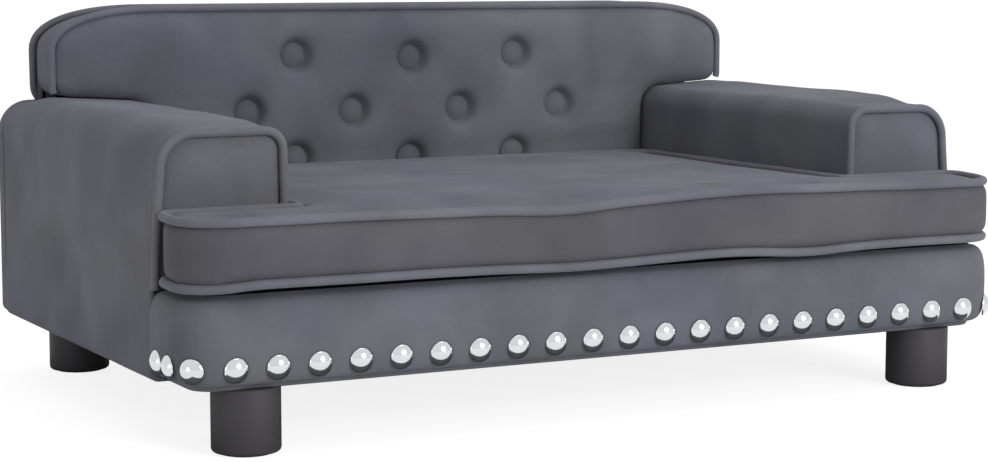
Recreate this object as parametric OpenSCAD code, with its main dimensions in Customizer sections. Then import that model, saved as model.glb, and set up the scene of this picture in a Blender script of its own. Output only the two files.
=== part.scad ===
// Dog sofa bed: a plywood frame on four round legs, padded velvet covers, a tufted
// T-shaped backrest, a row of dome nails and a loose T-shaped seat cushion.
// Millimetres. The origin is on the floor under the middle of the sofa, +X runs to
// the right as seen from the front, -Y is the front and +Z is up.

/* [Overall] */
// Width over both arms
overall_w = 700; // [640:5:800]
// Depth from the nail heads to the back cover
overall_d = 450; // [420:5:500]
// Height of the top of the arms
arm_h = 232.5; // [224:0.5:250]
// Height of the top of the backrest above the arms, piping included
back_rise = 73.5; // [64:0.5:100]
// Height of the platform that the cushion lies on
seat_h = 115; // [110:1:125]

/* [Legs] */
// Visible length of a leg
leg_h = 48; // [35:1:54]
// Diameter of a leg
leg_d = 48; // [40:1:54]
// Leg centre in from the side of the sofa
leg_side_in = 57.5; // [55:0.5:80]
// Front leg centre behind the front of the sofa
leg_front_in = 38.5; // [37:0.5:60]
// Rear leg centre ahead of the back of the sofa
leg_rear_in = 30; // [28:0.5:60]
// Thickness of the glide under each leg
glide_t = 2; // [1:0.5:4]
// Diameter of the leg bolt's thread
bolt_d = 8; // [6:1:10]
// Length of the leg bolt inside the leg
bolt_in_leg = 22; // [12:1:28]

/* [Frame boards] */
// Thickness of the base panel and of the arm boards
board_t = 12; // [9:0.5:15]
// Thickness of the front rail
rail_t = 10; // [8:0.5:10]
// Thickness of the rear rail and of the middle batten
batten_t = 18; // [12:1:25]
// Thickness of the seat deck
deck_t = 9; // [6:0.5:12]
// Width of the rounded blocks at the front corners
corner_block_w = 20; // [18:1:25]
// Radius of the frame's front corners
frame_corner_r = 17; // [12:1:18]
// Thickness of the black sheet under the frame
dust_t = 1; // [0.5:0.1:2]

/* [Upholstery] */
// Thickness of the padding at the fullest place of the apron and the sides
side_pad = 15; // [13:0.5:18]
// Thickness of the foam sheet on the sides of the arm frame
arm_foam_t = 5; // [3:0.5:6]
// Thickness of the foam sheet on top of the arm frame
arm_foam_top_t = 7; // [5:0.5:8]
// Thickness of the seat deck's felt and velvet
deck_cover_t = 3; // [2:0.5:5]
// Thickness of the velvet on the back board
back_cover_t = 2; // [1:0.5:3]
// Diameter of the piping on every seam
piping_d = 6; // [4:0.5:8]

/* [Arms] */
// Width of an arm's padded body
arm_w = 110; // [100:1:120]
// Front face of the arms behind the front of the sofa
arm_front_in = 72.5; // [65:0.5:85]
// Radius of an arm's inner top edge
arm_inner_r = 25; // [20:1:30]
// Radius of an arm's outer top edge
arm_outer_r = 36; // [30:1:42]
// How far an arm's top swells above its front edge
arm_top_swell = 7; // [3:0.5:8]
// How far an arm's inner face swells beyond its front edge
arm_side_swell = 5; // [2:0.5:6]
// Length over which an arm draws in to its front edge
arm_draw_l = 38; // [25:1:60]
// Wall of an arm's inner padding, foam and cover together
arm_wall = 14; // [12:0.5:18]
// How far the front pad stands out of the arm's front board
front_pad_t = 4.5; // [3:0.5:5]
// Height of the padding on top of the arm frame
arm_top_pad = 24.5; // [22:0.5:28]

/* [Seat cushion] */
// Height of the cushion between its two seams
cushion_seam_h = 46; // [38:1:55]
// Rise of the cushion's top above its upper seam
cushion_crown = 7; // [4:0.5:10]
// Drop of the cushion's underside below its lower seam
cushion_belly = 5.7; // [4:0.1:8]
// How far the sides swell out between the seams
gusset_swell = 2.5; // [1:0.5:3]
// Radius of the cushion's front corners
cushion_corner_r = 30; // [26:1:40]
// How far the cushion lifts off along its way out
cushion_lift = 200; // [100:10:300]

/* [Backrest] */
// Width of the backrest over its ears, piping included
back_w = 649; // [620:1:680]
// Thickness of the backrest from its front seam to the board
back_pad_t = 50; // [45:1:56]
// How far the pad swells in front of its seam
back_crown = 10; // [6:0.5:12]
// Horizontal reach of the backrest's big top corners
back_corner_w = 112; // [80:1:140]
// Vertical reach of the backrest's big top corners
back_corner_h = 45; // [35:1:48]
// Diameter of a tufting button
button_d = 23; // [18:0.5:26]
// Height of a button's dome
button_h = 6; // [4:0.5:8]
// Distance between buttons in a row
button_pitch = 104; // [90:1:108]
// Height of the lowest row of buttons above the platform
button_low = 56; // [50:1:62]
// Height of the middle row of buttons above the platform
button_mid = 98.5; // [92:0.5:104]
// Height of the top row of buttons above the platform
button_high = 145.5; // [140:0.5:150]

/* [Dome nails] */
// Diameter of a nail head
nail_d = 18.5; // [14:0.5:20]
// Height of a nail head's dome
nail_dome_h = 4.5; // [3:0.5:6]
// Distance between nails along the front
nail_pitch = 31.2; // [28:0.1:31.4]
// Distance between the last nails round each corner
nail_side_pitch = 24; // [20:0.5:25]
// Height of the nails above the bottom of the apron
nail_up = 18.3; // [14:0.1:24]

/* [Zip] */
// Length of the zip in the cushion's rear gusset
zip_l = 300; // [200:10:400]
// Width of the zip's tape
zip_w = 24; // [16:1:30]

/* [Hidden] */

// Clearance between neighbouring soft pieces
gap = 0.3;
// Clearance round a screw, bolt or nail in its hole
hole_gap = 0.05;
// Overrun of a cut past the face that it leaves
over = 1;
// Sides of a round piece
round_fn = 48;
velvet = "#5f6066";
velvet_dark = "#515258";
plywood = "#c9a877";
pine = "#d9bd8c";
foam = "#e8e0b8";
steel = "#b9bcc2";

// Main places
front_y = -overall_d / 2;
back_y = overall_d / 2;
pipe_r = piping_d / 2;
pipe_out = pipe_r + gap;
back_h = arm_h + back_rise;
base_z = leg_h;
panel_z = base_z + dust_t;
rail_z = panel_z + board_t;
deck_top = seat_h - deck_cover_t;
deck_z = deck_top - deck_t;
board_y = back_y - back_cover_t - board_t;
frame_x = overall_w / 2 - side_pad;
bulge_power = 3;
bulge_edge_share = 0.2;
apron_h = seat_h - base_z;
nail_z = base_z + nail_up;
nail_seat = 0.6;
nail_pad_t = bulge(nail_up / apron_h);
frame_y = front_y + nail_dome_h + nail_seat + nail_pad_t;
arm_in_x = overall_w / 2 - arm_w;
arm_y = front_y + arm_front_in;
arm_board_y = arm_y + pipe_out + gap;
arm_cover_y = arm_y + pipe_out;
arm_frame_x = arm_in_x + arm_wall;
arm_frame_top = arm_h - arm_top_pad;
panel_y = arm_board_y + board_t;

// Rounded outlines: a corner is [x, y, radius]
function flat(c) = [c.x, c.y];
function unit(v) = v / norm(v);
function turned(v, a) = [v.x * cos(a) - v.y * sin(a), v.x * sin(a) + v.y * cos(a)];
function backwards(list) = [for (i = [len(list) - 1:-1:0]) list[i]];
function corner_arc(a, b, c, r, steps) =
    let (u = unit(a - b), v = unit(c - b), half = acos(u * v) / 2,
        centre = b + unit(u + v) * r / sin(half),
        spoke = b + u * r / tan(half) - centre,
        turn = (cross(u, v) > 0 ? -1 : 1) * (180 - 2 * half))
    [for (k = [0:steps]) centre + turned(spoke, turn * k / steps)];
function between(a, b, count) =
    count < 1 ? [] : [for (k = [1:count]) a + (b - a) * k / (count + 1)];
function closed_outline(corners, steps, fills) =
    let (n = len(corners), arcs = [for (i = [0:n - 1]) corner_arc(
            flat(corners[(i + n - 1) % n]), flat(corners[i]), flat(corners[(i + 1) % n]),
            corners[i][2], steps)])
    [for (i = [0:n - 1])
        each concat(arcs[i], between(arcs[i][steps], arcs[(i + 1) % n][0], fills[i]))];
function open_outline(corners, steps, fills) =
    let (n = len(corners), arcs = [for (i = [0:n - 1]) (i == 0 || i == n - 1)
        ? [flat(corners[i])]
        : corner_arc(flat(corners[i - 1]), flat(corners[i]), flat(corners[i + 1]),
            corners[i][2], steps)])
    [for (i = [0:n - 1]) each i == n - 1 ? arcs[i]
        : concat(arcs[i], between(arcs[i][len(arcs[i]) - 1], arcs[i + 1][0], fills[i]))];

// A solid through rings of equally many points, each seen anticlockwise from the end.
// A band's ring runs along one edge and back along the other. Other ends are closed by
// triangles round a hub
function sum(list, i = 0) = i == len(list) - 1 ? list[i] : list[i] + sum(list, i + 1);
module skin(rings, closed = false, band = false, hub = undef) {
    n = len(rings[0]);
    m = len(rings);
    last = closed ? m - 1 : m - 2;
    top = (m - 1) * n;
    sides = [for (i = [0:last], j = [0:n - 1])
        let (a = i * n + j, b = i * n + (j + 1) % n, up = ((i + 1) % m) * n,
            c = up + (j + 1) % n, d = up + j)
        each [[a, d, c], [a, c, b]]];
    caps = closed ? [] : band
        ? [for (j = [0:n / 2 - 2]) each [[j, j + 1, n - 2 - j], [j, n - 2 - j, n - 1 - j],
            [top + j, top + n - 2 - j, top + j + 1],
            [top + j, top + n - 1 - j, top + n - 2 - j]]]
        : [for (j = [0:n - 1]) let (next = (j + 1) % n)
            each [[j, next, top + n], [top + next, top + j, top + n + 1]]];
    hubs = closed || band ? [] : [for (ring = [rings[0], rings[m - 1]])
        is_undef(hub) ? sum(ring) / n : [hub.x, hub.y, ring[0].z]];
    polyhedron(points = concat([for (ring = rings) each ring], hubs),
        faces = concat(sides, caps));
}

// A round tube along a path that lies about square to a normal
module tube(path, normal, r, sides, closed = false) {
    m = len(path);
    rings = [for (i = [0:m - 1])
        let (before = closed ? path[(i + m - 1) % m] : path[max(i - 1, 0)],
            after = closed ? path[(i + 1) % m] : path[min(i + 1, m - 1)],
            t = unit(after - before), s = unit(cross(normal, t)), b = cross(t, s))
        [for (k = [0:sides - 1])
            path[i] + r * (s * cos(360 * k / sides) + b * sin(360 * k / sides))]];
    skin(rings, closed);
}
tube_sides = 6;

module both_sides() {
    children();
    mirror([1, 0, 0]) children();
}

module board(low, high) {
    translate(low) cube(high - low);
}

// An outline drawn in X and Z, standing between two places along Y
module upright(outline, y0, y1) {
    translate([0, y1, 0]) rotate([90, 0, 0]) linear_extrude(height = y1 - y0) polygon(outline);
}

// A turned disc or rod between two heights
module rod(r, z0, z1) {
    translate([0, 0, z0]) cylinder(r = r, h = z1 - z0, $fn = round_fn);
}

// Screws: each place is [x, y, z] of the head's face
screw_r = 1.75;
screw_head_r = 3.5;
screw_head_t = 2;
screw_l = 27;
module screw() {
    rod(screw_head_r, -screw_head_t, 0);
    rod(screw_r, -screw_l, -screw_head_t);
}
module screw_hole(sink = 0) {
    rod(screw_head_r + hole_gap, -screw_head_t - hole_gap, sink + over);
    rod(screw_r + hole_gap, -screw_l - hole_gap, 0);
}
screw_edge = board_t / 2;
screw_inset_share = 0.6;
rear_rail_y = board_y - batten_t;
rail_mid_y = frame_y + rail_t / 2;
rear_mid_y = rear_rail_y + batten_t / 2;
block_mid_x = frame_x - corner_block_w / 2;
side_mid_x = frame_x - board_t / 2;
inner_mid_x = arm_frame_x + board_t / 2;
block_mid_y = (frame_y + panel_y) / 2;
deck_mid_y = (frame_y + board_y) / 2;
arm_screw_front_y = panel_y + board_t * 2;
arm_screw_rear_y = board_y - board_t * 3;
base_screw_places = [for (side = [-1, 1]) each [
    [side * frame_x * screw_inset_share, rail_mid_y],
    [side * frame_x * screw_inset_share, rear_mid_y],
    [side * block_mid_x, block_mid_y],
    [side * side_mid_x, deck_mid_y]]];
deck_screw_share = 0.35;
deck_screw_places = [for (side = [-1, 1]) each [
    [side * frame_x * deck_screw_share, rail_mid_y],
    [side * frame_x * deck_screw_share, rear_mid_y],
    [side * block_mid_x, block_mid_y + board_t]]];
arm_screw_places = [for (side = [-1, 1], x = [inner_mid_x, side_mid_x],
    y = [arm_screw_front_y, arm_screw_rear_y]) [side * x, y]];
arm_screw_sink = board_t / 2;
back_screw_low = rail_z + (deck_z - rail_z) / 2;
back_screw_high = arm_frame_top - board_t / 2;
back_screw_share = 0.22;
back_screw_places = [for (side = [-1, 1]) each [
    [side * frame_x * back_screw_share, back_screw_low],
    [side * side_mid_x, back_screw_low],
    [side * (inner_mid_x + side_mid_x) / 2, back_screw_high]]];
module at_base_screws() {
    for (p = base_screw_places) translate([p.x, p.y, panel_z]) mirror([0, 0, 1]) children();
}
module at_deck_screws() {
    for (p = deck_screw_places) translate([p.x, p.y, deck_top]) children();
}
module at_arm_screws() {
    for (p = arm_screw_places) translate([p.x, p.y, arm_frame_top - arm_screw_sink]) children();
}
module at_back_screws() {
    for (p = back_screw_places)
        translate([p.x, board_y + board_t, p.y]) rotate([-90, 0, 0]) children();
}

// Legs: turned plastic feet on bolts that screw into nuts in the base panel
leg_x = overall_w / 2 - leg_side_in;
leg_places = [for (side = [-1, 1], y = [front_y + leg_front_in, back_y - leg_rear_in])
    [side * leg_x, y]];
glide_d_share = 0.8;
glide_sink_share = 0.5;
leg_chamfer = 1;
nut_flange_r = 8.5;
nut_flange_t = 1.2;
nut_wall = 1.3;
bolt_r = bolt_d / 2;
nut_r = bolt_r + nut_wall;
bolt_top = rail_z + nut_flange_t;
glide_r = leg_d / 2 * glide_d_share;
leg_foot_z = glide_t * (1 - glide_sink_share);
rear_rail_x = min(leg_x - nut_flange_r - gap, frame_x - board_t);
module leg(side, y) {
    color("#3b3b3e") translate([side * leg_x, y, 0]) difference() {
        union() {
            translate([0, 0, leg_foot_z])
                cylinder(r1 = leg_d / 2 - leg_chamfer, r2 = leg_d / 2, h = leg_chamfer,
                    $fn = round_fn);
            rod(leg_d / 2, leg_foot_z + leg_chamfer, base_z);
        }
        rod(bolt_r + hole_gap, base_z - bolt_in_leg - hole_gap, base_z + over);
        rod(glide_r + hole_gap, -over, glide_t);
    }
}
module leg_front_left() { leg(-1, front_y + leg_front_in); }
module leg_front_right() { leg(1, front_y + leg_front_in); }
module leg_rear_left() { leg(-1, back_y - leg_rear_in); }
module leg_rear_right() { leg(1, back_y - leg_rear_in); }
module at_legs() {
    for (p = leg_places) translate([p.x, p.y, 0]) children();
}
module leg_bolts() {
    color(steel) at_legs() rod(bolt_r, base_z - bolt_in_leg, bolt_top);
}
module leg_t_nuts() {
    color(steel) at_legs() difference() {
        union() {
            rod(nut_r, panel_z, rail_z);
            rod(nut_flange_r, rail_z, rail_z + nut_flange_t);
        }
        rod(bolt_r + hole_gap, panel_z - over, rail_z + nut_flange_t + over);
    }
}
module leg_glides() {
    color("#1f1f20") at_legs() rod(glide_r, 0, glide_t);
}

// Base frame
module front_cornered(x, y0, y1, z0, z1, r) {
    translate([0, 0, z0]) linear_extrude(height = z1 - z0)
        polygon(open_outline([[-x, y1, 0], [-x, y0, r], [x, y0, r], [x, y1, 0]], 8, [0, 0, 0]));
}
module base_panel() {
    color(plywood) difference() {
        front_cornered(frame_x, frame_y, board_y, panel_z, rail_z, frame_corner_r);
        at_legs() rod(nut_r + hole_gap, panel_z - over, rail_z + over);
        at_base_screws() screw_hole();
    }
}
module front_rail() {
    color(pine) difference() {
        board([-frame_x + corner_block_w, frame_y, rail_z],
            [frame_x - corner_block_w, frame_y + rail_t, deck_z]);
        at_base_screws() screw_hole();
        at_deck_screws() screw_hole();
        at_nails() nail_hole();
    }
}
module rear_rail() {
    color(pine) difference() {
        board([-rear_rail_x, rear_rail_y, rail_z], [rear_rail_x, board_y, deck_z]);
        at_base_screws() screw_hole();
        at_deck_screws() screw_hole();
        at_back_screws() screw_hole();
    }
}
module middle_batten() {
    color(pine) board([-batten_t / 2, frame_y + rail_t, rail_z],
        [batten_t / 2, rear_rail_y, deck_z]);
}
module front_corner_blocks() {
    color(pine) difference() {
        front_cornered(frame_x, frame_y, panel_y, rail_z, deck_z, frame_corner_r);
        board([-frame_x + corner_block_w, frame_y - over, rail_z - over],
            [frame_x - corner_block_w, panel_y + over, deck_z + over]);
        at_base_screws() screw_hole();
        at_deck_screws() screw_hole();
        at_nails() nail_hole();
    }
}
module seat_deck() {
    color(plywood) difference() {
        front_cornered(frame_x, frame_y, board_y, deck_z, deck_top, frame_corner_r);
        both_sides() board([frame_x - board_t, panel_y, deck_z - over],
            [frame_x + over, board_y + over, deck_top + over]);
        at_deck_screws() screw_hole();
    }
}
module side_panel_right() {
    color(plywood) difference() {
        board([frame_x - board_t, panel_y, rail_z], [frame_x, board_y, arm_frame_top - board_t]);
        at_base_screws() screw_hole();
        at_arm_screws() screw_hole();
        at_back_screws() screw_hole();
    }
}
module side_panel_left() { mirror([1, 0, 0]) side_panel_right(); }

// Arm frames
module arm_inner_panel_right() {
    color(plywood) difference() {
        board([arm_frame_x, panel_y, deck_top],
            [arm_frame_x + board_t, board_y, arm_frame_top - board_t]);
        at_arm_screws() screw_hole();
    }
}
module arm_inner_panel_left() { mirror([1, 0, 0]) arm_inner_panel_right(); }
arm_top_round_share = 0.95;
module arm_top_board_right() {
    color(plywood) difference() {
        upright(open_outline([[frame_x, arm_frame_top - board_t, 0],
            [frame_x, arm_frame_top, board_t * arm_top_round_share],
            [arm_frame_x, arm_frame_top, board_t - board_t * arm_top_round_share],
            [arm_frame_x, arm_frame_top - board_t, 0]], 8, [0, 0, 0]), panel_y, board_y);
        at_arm_screws() screw_hole(arm_screw_sink);
        at_back_screws() screw_hole();
    }
}
module arm_top_board_left() { mirror([1, 0, 0]) arm_top_board_right(); }
arm_board_r_share = 0.6;
module arm_front_board_right() {
    color(plywood) upright(open_outline([[frame_x, deck_top, 0],
        [frame_x, arm_frame_top, arm_outer_r * arm_board_r_share],
        [arm_frame_x, arm_frame_top, board_t - board_t * arm_top_round_share],
        [arm_frame_x, deck_top, 0]], 8, [0, 0, 0]), arm_board_y, panel_y);
}
module arm_front_board_left() { mirror([1, 0, 0]) arm_front_board_right(); }

// Screws of the frame
module base_screws() { color(steel) at_base_screws() screw(); }
module deck_screws() { color(steel) at_deck_screws() screw(); }
module arm_screws() { color(steel) at_arm_screws() screw(); }
module back_screws() { color(steel) at_back_screws() screw(); }

// Fabric under the frame and on the deck
module dust_cover() {
    color("#232325") difference() {
        front_cornered(frame_x, frame_y, board_y, base_z, panel_z, frame_corner_r);
        at_legs() rod(bolt_r + gap, base_z - over, panel_z + over);
    }
}
module deck_cover() {
    color(velvet_dark) difference() {
        front_cornered(frame_x, frame_y, board_y, deck_top, seat_h, frame_corner_r);
        both_sides() board([arm_in_x - gap, arm_board_y - gap, deck_top - over],
            [frame_x + over, board_y + over, seat_h + over]);
    }
}

// Apron: a padded band round the front, fullest at its middle height
function bulge(t) = side_pad * (bulge_edge_share + (1 - bulge_edge_share)
    * pow(1 - pow(abs(2 * t - 1), bulge_power), 1 / bulge_power));
apron_height_shares = [0, 0.03, 0.12, 0.5, 0.88, 0.97, 1];
apron_end_y = arm_cover_y - gap;
function apron_path(out) = open_outline([[-frame_x - out, apron_end_y, 0],
    [-frame_x - out, frame_y - out, frame_corner_r + out],
    [frame_x + out, frame_y - out, frame_corner_r + out],
    [frame_x + out, apron_end_y, 0]], 6, [1, 3, 1]);
module apron_pad() {
    color(velvet) skin([for (t = apron_height_shares)
        [for (p = concat(apron_path(bulge(t)), backwards(apron_path(gap))))
            [p.x, p.y, base_z + apron_h * t]]], band = true);
}

// Dome nails along the apron, driven into the frame
nail_side_count = 2;
nail_shank_r = 1;
nail_in_wood = 8;
nail_r = nail_d / 2;
nail_sphere_r = (nail_r * nail_r + nail_dome_h * nail_dome_h) / (2 * nail_dome_h);
nail_corner_r = frame_corner_r + nail_pad_t;
nail_straight = frame_x - frame_corner_r;
nail_front_count = round((nail_straight + nail_corner_r * PI / 4) / nail_pitch);
function nail_run(i) = min(abs(i), nail_front_count) * nail_pitch
    + max(abs(i) - nail_front_count, 0) * nail_side_pitch;
module at_nails() {
    for (i = [-nail_front_count - nail_side_count:nail_front_count + nail_side_count]) {
        past = max(nail_run(i) - nail_straight, 0);
        turn = min(past / nail_corner_r * 180 / PI, 90);
        back = max(past - nail_corner_r * PI / 2, 0);
        side = i < 0 ? -1 : 1;
        translate([side * (min(nail_run(i), nail_straight) + nail_corner_r * sin(turn)),
            frame_y + frame_corner_r - nail_corner_r * cos(turn) + back, nail_z])
            rotate([90, 0, side * turn]) children();
    }
}
module nail() {
    translate([0, 0, nail_seat]) intersection() {
        translate([0, 0, nail_dome_h - nail_sphere_r]) sphere(r = nail_sphere_r, $fn = round_fn);
        rod(nail_r, 0, nail_dome_h + over);
    }
    rod(nail_shank_r, -nail_pad_t - nail_in_wood, nail_seat);
}
module nail_hole() {
    rod(nail_shank_r + hole_gap, -nail_pad_t - nail_in_wood - hole_gap, nail_seat + over);
}
module dome_nails() { color("#dfe1e4") at_nails() nail(); }

// Arm upholstery: a foam sheet over the frame, a padded cover that draws in to its front
// and back edges, a pad on the front board and piping round the pad
arm_foam_in_r = 15;
arm_foam_out_r = 30;
fold_r = 0.5;
arm_seam_z = seat_h + gap;
arm_foam_bottom = panel_z + gap;
function arm_frame_arch(out, up) = [
    [arm_frame_x - out, arm_frame_top + up, max(arm_foam_in_r - arm_foam_t + out, fold_r)],
    [frame_x + out, arm_frame_top + up, arm_foam_out_r - arm_foam_t + out]];
function arm_inside(out, up, low) = open_outline(concat(
    [[arm_frame_x - out, deck_top + gap, 0]], arm_frame_arch(out, up),
    [[frame_x + out, low, fold_r], [frame_x + gap, low, 0]]), 5, [1, 1, 2, 0]);
arm_inner_edge_r = board_t * (1 - arm_top_round_share);
arm_outer_edge_r = board_t * arm_top_round_share;
function foam_inside() = open_outline([[arm_frame_x - gap, deck_top + gap, 0],
    [arm_frame_x - gap, arm_frame_top + gap, arm_inner_edge_r + gap],
    [frame_x + gap, arm_frame_top + gap, arm_outer_edge_r + gap],
    [frame_x + gap, arm_foam_bottom, 0]], 5, [0, 0, 0]);
module arm_foam_right() {
    color(foam) upright(concat(
        open_outline(concat([[arm_frame_x - arm_foam_t, deck_top + gap, 0]],
            arm_frame_arch(arm_foam_t, arm_foam_top_t),
            [[frame_x + arm_foam_t, arm_foam_bottom, 0]]), 5, [0, 0, 0]),
        backwards(foam_inside())), arm_board_y, board_y - gap);
}
module arm_foam_left() { mirror([1, 0, 0]) arm_foam_right(); }
function arm_outside(k) =
    let (in_x = arm_in_x + arm_side_swell * (1 - k), out_x = overall_w / 2,
        top = arm_h - arm_top_swell * (1 - k))
    open_outline([[in_x, deck_top + gap, 0], [in_x, top, arm_inner_r],
        [out_x, top, arm_outer_r], [out_x, base_z, side_pad / 2],
        [frame_x + gap, base_z, 0]], 5, [1, 1, 2, 0]);
arm_draw_shares = [0, 0.06, 0.24, 0.56, 1];
arm_rear_y = board_y - gap;
arm_rings = concat(
    [for (t = arm_draw_shares) [arm_cover_y + arm_draw_l * t, sqrt(1 - pow(1 - t, 2))]],
    [for (t = backwards(arm_draw_shares)) [arm_rear_y - arm_draw_l * t, sqrt(1 - pow(1 - t, 2))]]);
module arm_cover_right() {
    color(velvet) skin([for (ring = arm_rings)
        [for (p = concat(arm_outside(ring[1]),
            backwards(arm_inside(arm_foam_t + gap, arm_foam_top_t + gap, panel_z))))
            [p.x, ring[0], p.y]]], band = true);
}
module arm_cover_left() { mirror([1, 0, 0]) arm_cover_right(); }
function arm_front_path(inset) =
    let (in_x = arm_in_x + arm_side_swell + inset, out_x = overall_w / 2 - inset,
        top = arm_h - arm_top_swell - inset)
    open_outline([[in_x, arm_seam_z, 0], [in_x, top, arm_inner_r - inset],
        [out_x, top, arm_outer_r - inset], [out_x, arm_seam_z, 0]], 6, [2, 2, 2]);
module arm_piping_right() {
    color(velvet_dark) tube([for (p = arm_front_path(pipe_out)) [p.x, arm_y, p.y]],
        [0, 1, 0], pipe_r, tube_sides);
}
module arm_piping_left() { mirror([1, 0, 0]) arm_piping_right(); }
front_pad_shares = [[0, 0], [0.5, 0], [0.85, 0.35], [1, 1]];
front_pad_round = 12;
module arm_front_pad_right() {
    color(velvet) skin([for (s = backwards(front_pad_shares))
        [for (p = arm_front_path(2 * pipe_out + front_pad_round * s[1]))
            [p.x, arm_cover_y - gap - front_pad_t * s[0], p.y]]]);
}
module arm_front_pad_left() { mirror([1, 0, 0]) arm_front_pad_right(); }

// Backrest outline: half widths at heights, seen from the front
back_x = back_w / 2 - pipe_out - pipe_r;
back_top = back_h - pipe_out - pipe_r;
back_corner_x = back_x - back_corner_w;
back_corner_z = back_top - back_corner_h;
back_seam_y = board_y - back_pad_t;
ear_z = arm_h + gap;
ear_r = 12;
shoulder_z = arm_h - arm_top_swell;
function over_top(out) = [for (k = [0:8])
    let (a = 90 * k / 8, away = unit([cos(a) / back_corner_w, sin(a) / back_corner_h]))
    [back_corner_x + back_corner_w * cos(a), back_corner_z + back_corner_h * sin(a)] + out * away];
function whole(half) = concat(half, [for (p = backwards(half)) [-p.x, p.y]]);
function back_outline(inset) = whole(concat(
    open_outline([[0, base_z + dust_t + board_t / 2 + inset, 0],
        [overall_w / 2 - inset, base_z + dust_t + board_t / 2 + inset, side_pad / 2],
        [overall_w / 2 - inset, shoulder_z - inset, arm_outer_r - inset],
        [back_x - inset, shoulder_z - inset, 0]], 8, [0, 0, 0]),
    over_top(-inset)));
pipe_start_turn = -25;
function back_piping() = whole(concat(
    [for (a = [pipe_start_turn, 0]) [back_x - ear_r + (ear_r + pipe_out) * cos(a),
        ear_z + ear_lift + ear_r + (ear_r + pipe_out) * sin(a)]], over_top(pipe_out)));
module back_board() {
    color(plywood) difference() {
        upright(back_outline(back_cover_t + gap), board_y, board_y + board_t);
        at_back_screws() screw_hole();
        at_buttons() tie_hole();
    }
}
module back_cover() {
    color(velvet) difference() {
        upright(back_outline(0), board_y, back_y);
        upright(back_outline(back_cover_t), board_y - over, board_y + board_t);
    }
}
module backrest_front_piping() {
    color(velvet_dark) tube([for (p = back_piping()) [p.x, back_seam_y, p.y]],
        [0, 1, 0], pipe_r, tube_sides);
}
module backrest_rear_piping() {
    color(velvet_dark) tube([for (p = whole(concat([[back_x + pipe_out, ear_z + pipe_out]],
        over_top(pipe_out)))) [p.x, board_y + board_t / 2, p.y]], [0, 1, 0], pipe_r, tube_sides);
}

// Tufting buttons in staggered rows of three, four and three, with their ties
button_r = button_d / 2;
button_skirt = 2;
button_sphere_r = (button_r * button_r + button_h * button_h) / (2 * button_h);
button_y = back_seam_y + button_h + 1.5 * button_skirt;
tie_r = 0.8;
toggle_r = 6;
toggle_t = 1.2;
tie_end_y = board_y + board_t - toggle_t - gap;
button_places = [for (row = [[button_low, 3], [button_mid, 4], [button_high, 3]],
    i = [0:row[1] - 1]) [(i - (row[1] - 1) / 2) * button_pitch, seat_h + row[0]]];
module at_buttons() {
    for (p = button_places) translate([p.x, button_y, p.y]) rotate([90, 0, 0]) children();
}
module tuft_buttons() {
    color(velvet) at_buttons() intersection() {
        translate([0, 0, button_skirt + button_h - button_sphere_r])
            sphere(r = button_sphere_r, $fn = round_fn);
        rod(button_r, 0, button_skirt + button_h + over);
    }
}
module button_ties() {
    color("#8a8a8e") at_buttons() {
        rod(tie_r, button_y - tie_end_y, 0);
        rod(toggle_r, button_y - tie_end_y - toggle_t, button_y - tie_end_y);
    }
}
module tie_hole() {
    rod(tie_r + gap, button_y - back_y, over);
    rod(toggle_r + gap, button_y - back_y, button_y - tie_end_y + gap);
}

// Backrest pad: a grid over the outline, swelling forward and drawn in at each button.
// Grid lines pass through the buttons and their pockets, and each cell is split along
// its flatter diagonal
pad_z = seat_h + gap;
pad_draw = 38;
pocket_half = button_r * 1.3;
pocket_in = 0.7;
tuft_flat = pocket_half * 1.1;
tuft_reach = 34;
seat_squeeze = 3.5;
squeeze_z = seat_h + cushion_seam_h + cushion_belly + cushion_crown;
arm_arc_z = arm_h - arm_inner_r;
arm_arc_r = (arm_inner_r + gap) / cos(7.5);
low_z = seat_h + button_low;
mid_z = seat_h + button_mid;
high_z = seat_h + button_high;
function arm_side(z) = arm_in_x + arm_inner_r - sqrt(pow(arm_arc_r, 2) - pow(z - arm_arc_z, 2));
function corner_side(z) = back_corner_x
    + back_corner_w * sqrt(1 - pow((z - back_corner_z) / back_corner_h, 2));
function arm_arc_row(a) = [arm_arc_z + arm_arc_r * sin(a),
    arm_in_x + arm_inner_r - arm_arc_r * cos(a)];
ear_lift = 1.2;
function ear_row(a) = [ear_z + ear_lift + ear_r + ear_r * sin(a),
    back_x - ear_r + ear_r * cos(a)];
function corner_row(a) = [back_corner_z + back_corner_h * sin(a),
    back_corner_x + back_corner_w * cos(a)];
pad_rows = concat(
    [for (k = [0:2]) [pad_z + (low_z - pocket_half - pad_z) * k / 3, arm_in_x - gap]],
    [for (z = [low_z - pocket_half, low_z, low_z + pocket_half, mid_z - pocket_half, arm_arc_z])
        [z, arm_in_x - gap]],
    [[mid_z, arm_side(mid_z)]],
    [for (a = [30, 45, 60, 75, 90]) arm_arc_row(a)],
    [for (a = [-90, -50, -20]) ear_row(a)],
    [[high_z - pocket_half, back_x], [back_corner_z, back_x], [high_z, corner_side(high_z)],
        corner_row(16), [high_z + pocket_half, corner_side(high_z + pocket_half)]],
    [for (a = [38, 50, 62, 75, 90]) corner_row(a)]);
pocket_x = 1.5 * button_pitch + pocket_half;
pad_edge_shares = [0.25, 0.5, 0.7, 0.85, 0.95, 1];
pad_middle = [for (k = [-3:3], d = [-pocket_half, 0, pocket_half, button_pitch / 4])
    if (k < 3 || d < button_pitch / 4) k * button_pitch / 2 + d];
function pad_columns(half) = let (edge = [for (t = pad_edge_shares) pocket_x + (half - pocket_x) * t])
    concat([for (x = backwards(edge)) -x], pad_middle, edge);
function smooth(t) = sin(90 * min(max(t, 0), 1));
function pad_top(x) = abs(x) <= back_corner_x ? back_top
    : back_corner_z + back_corner_h * sqrt(max(1 - pow((abs(x) - back_corner_x) / back_corner_w, 2), 0));
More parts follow.
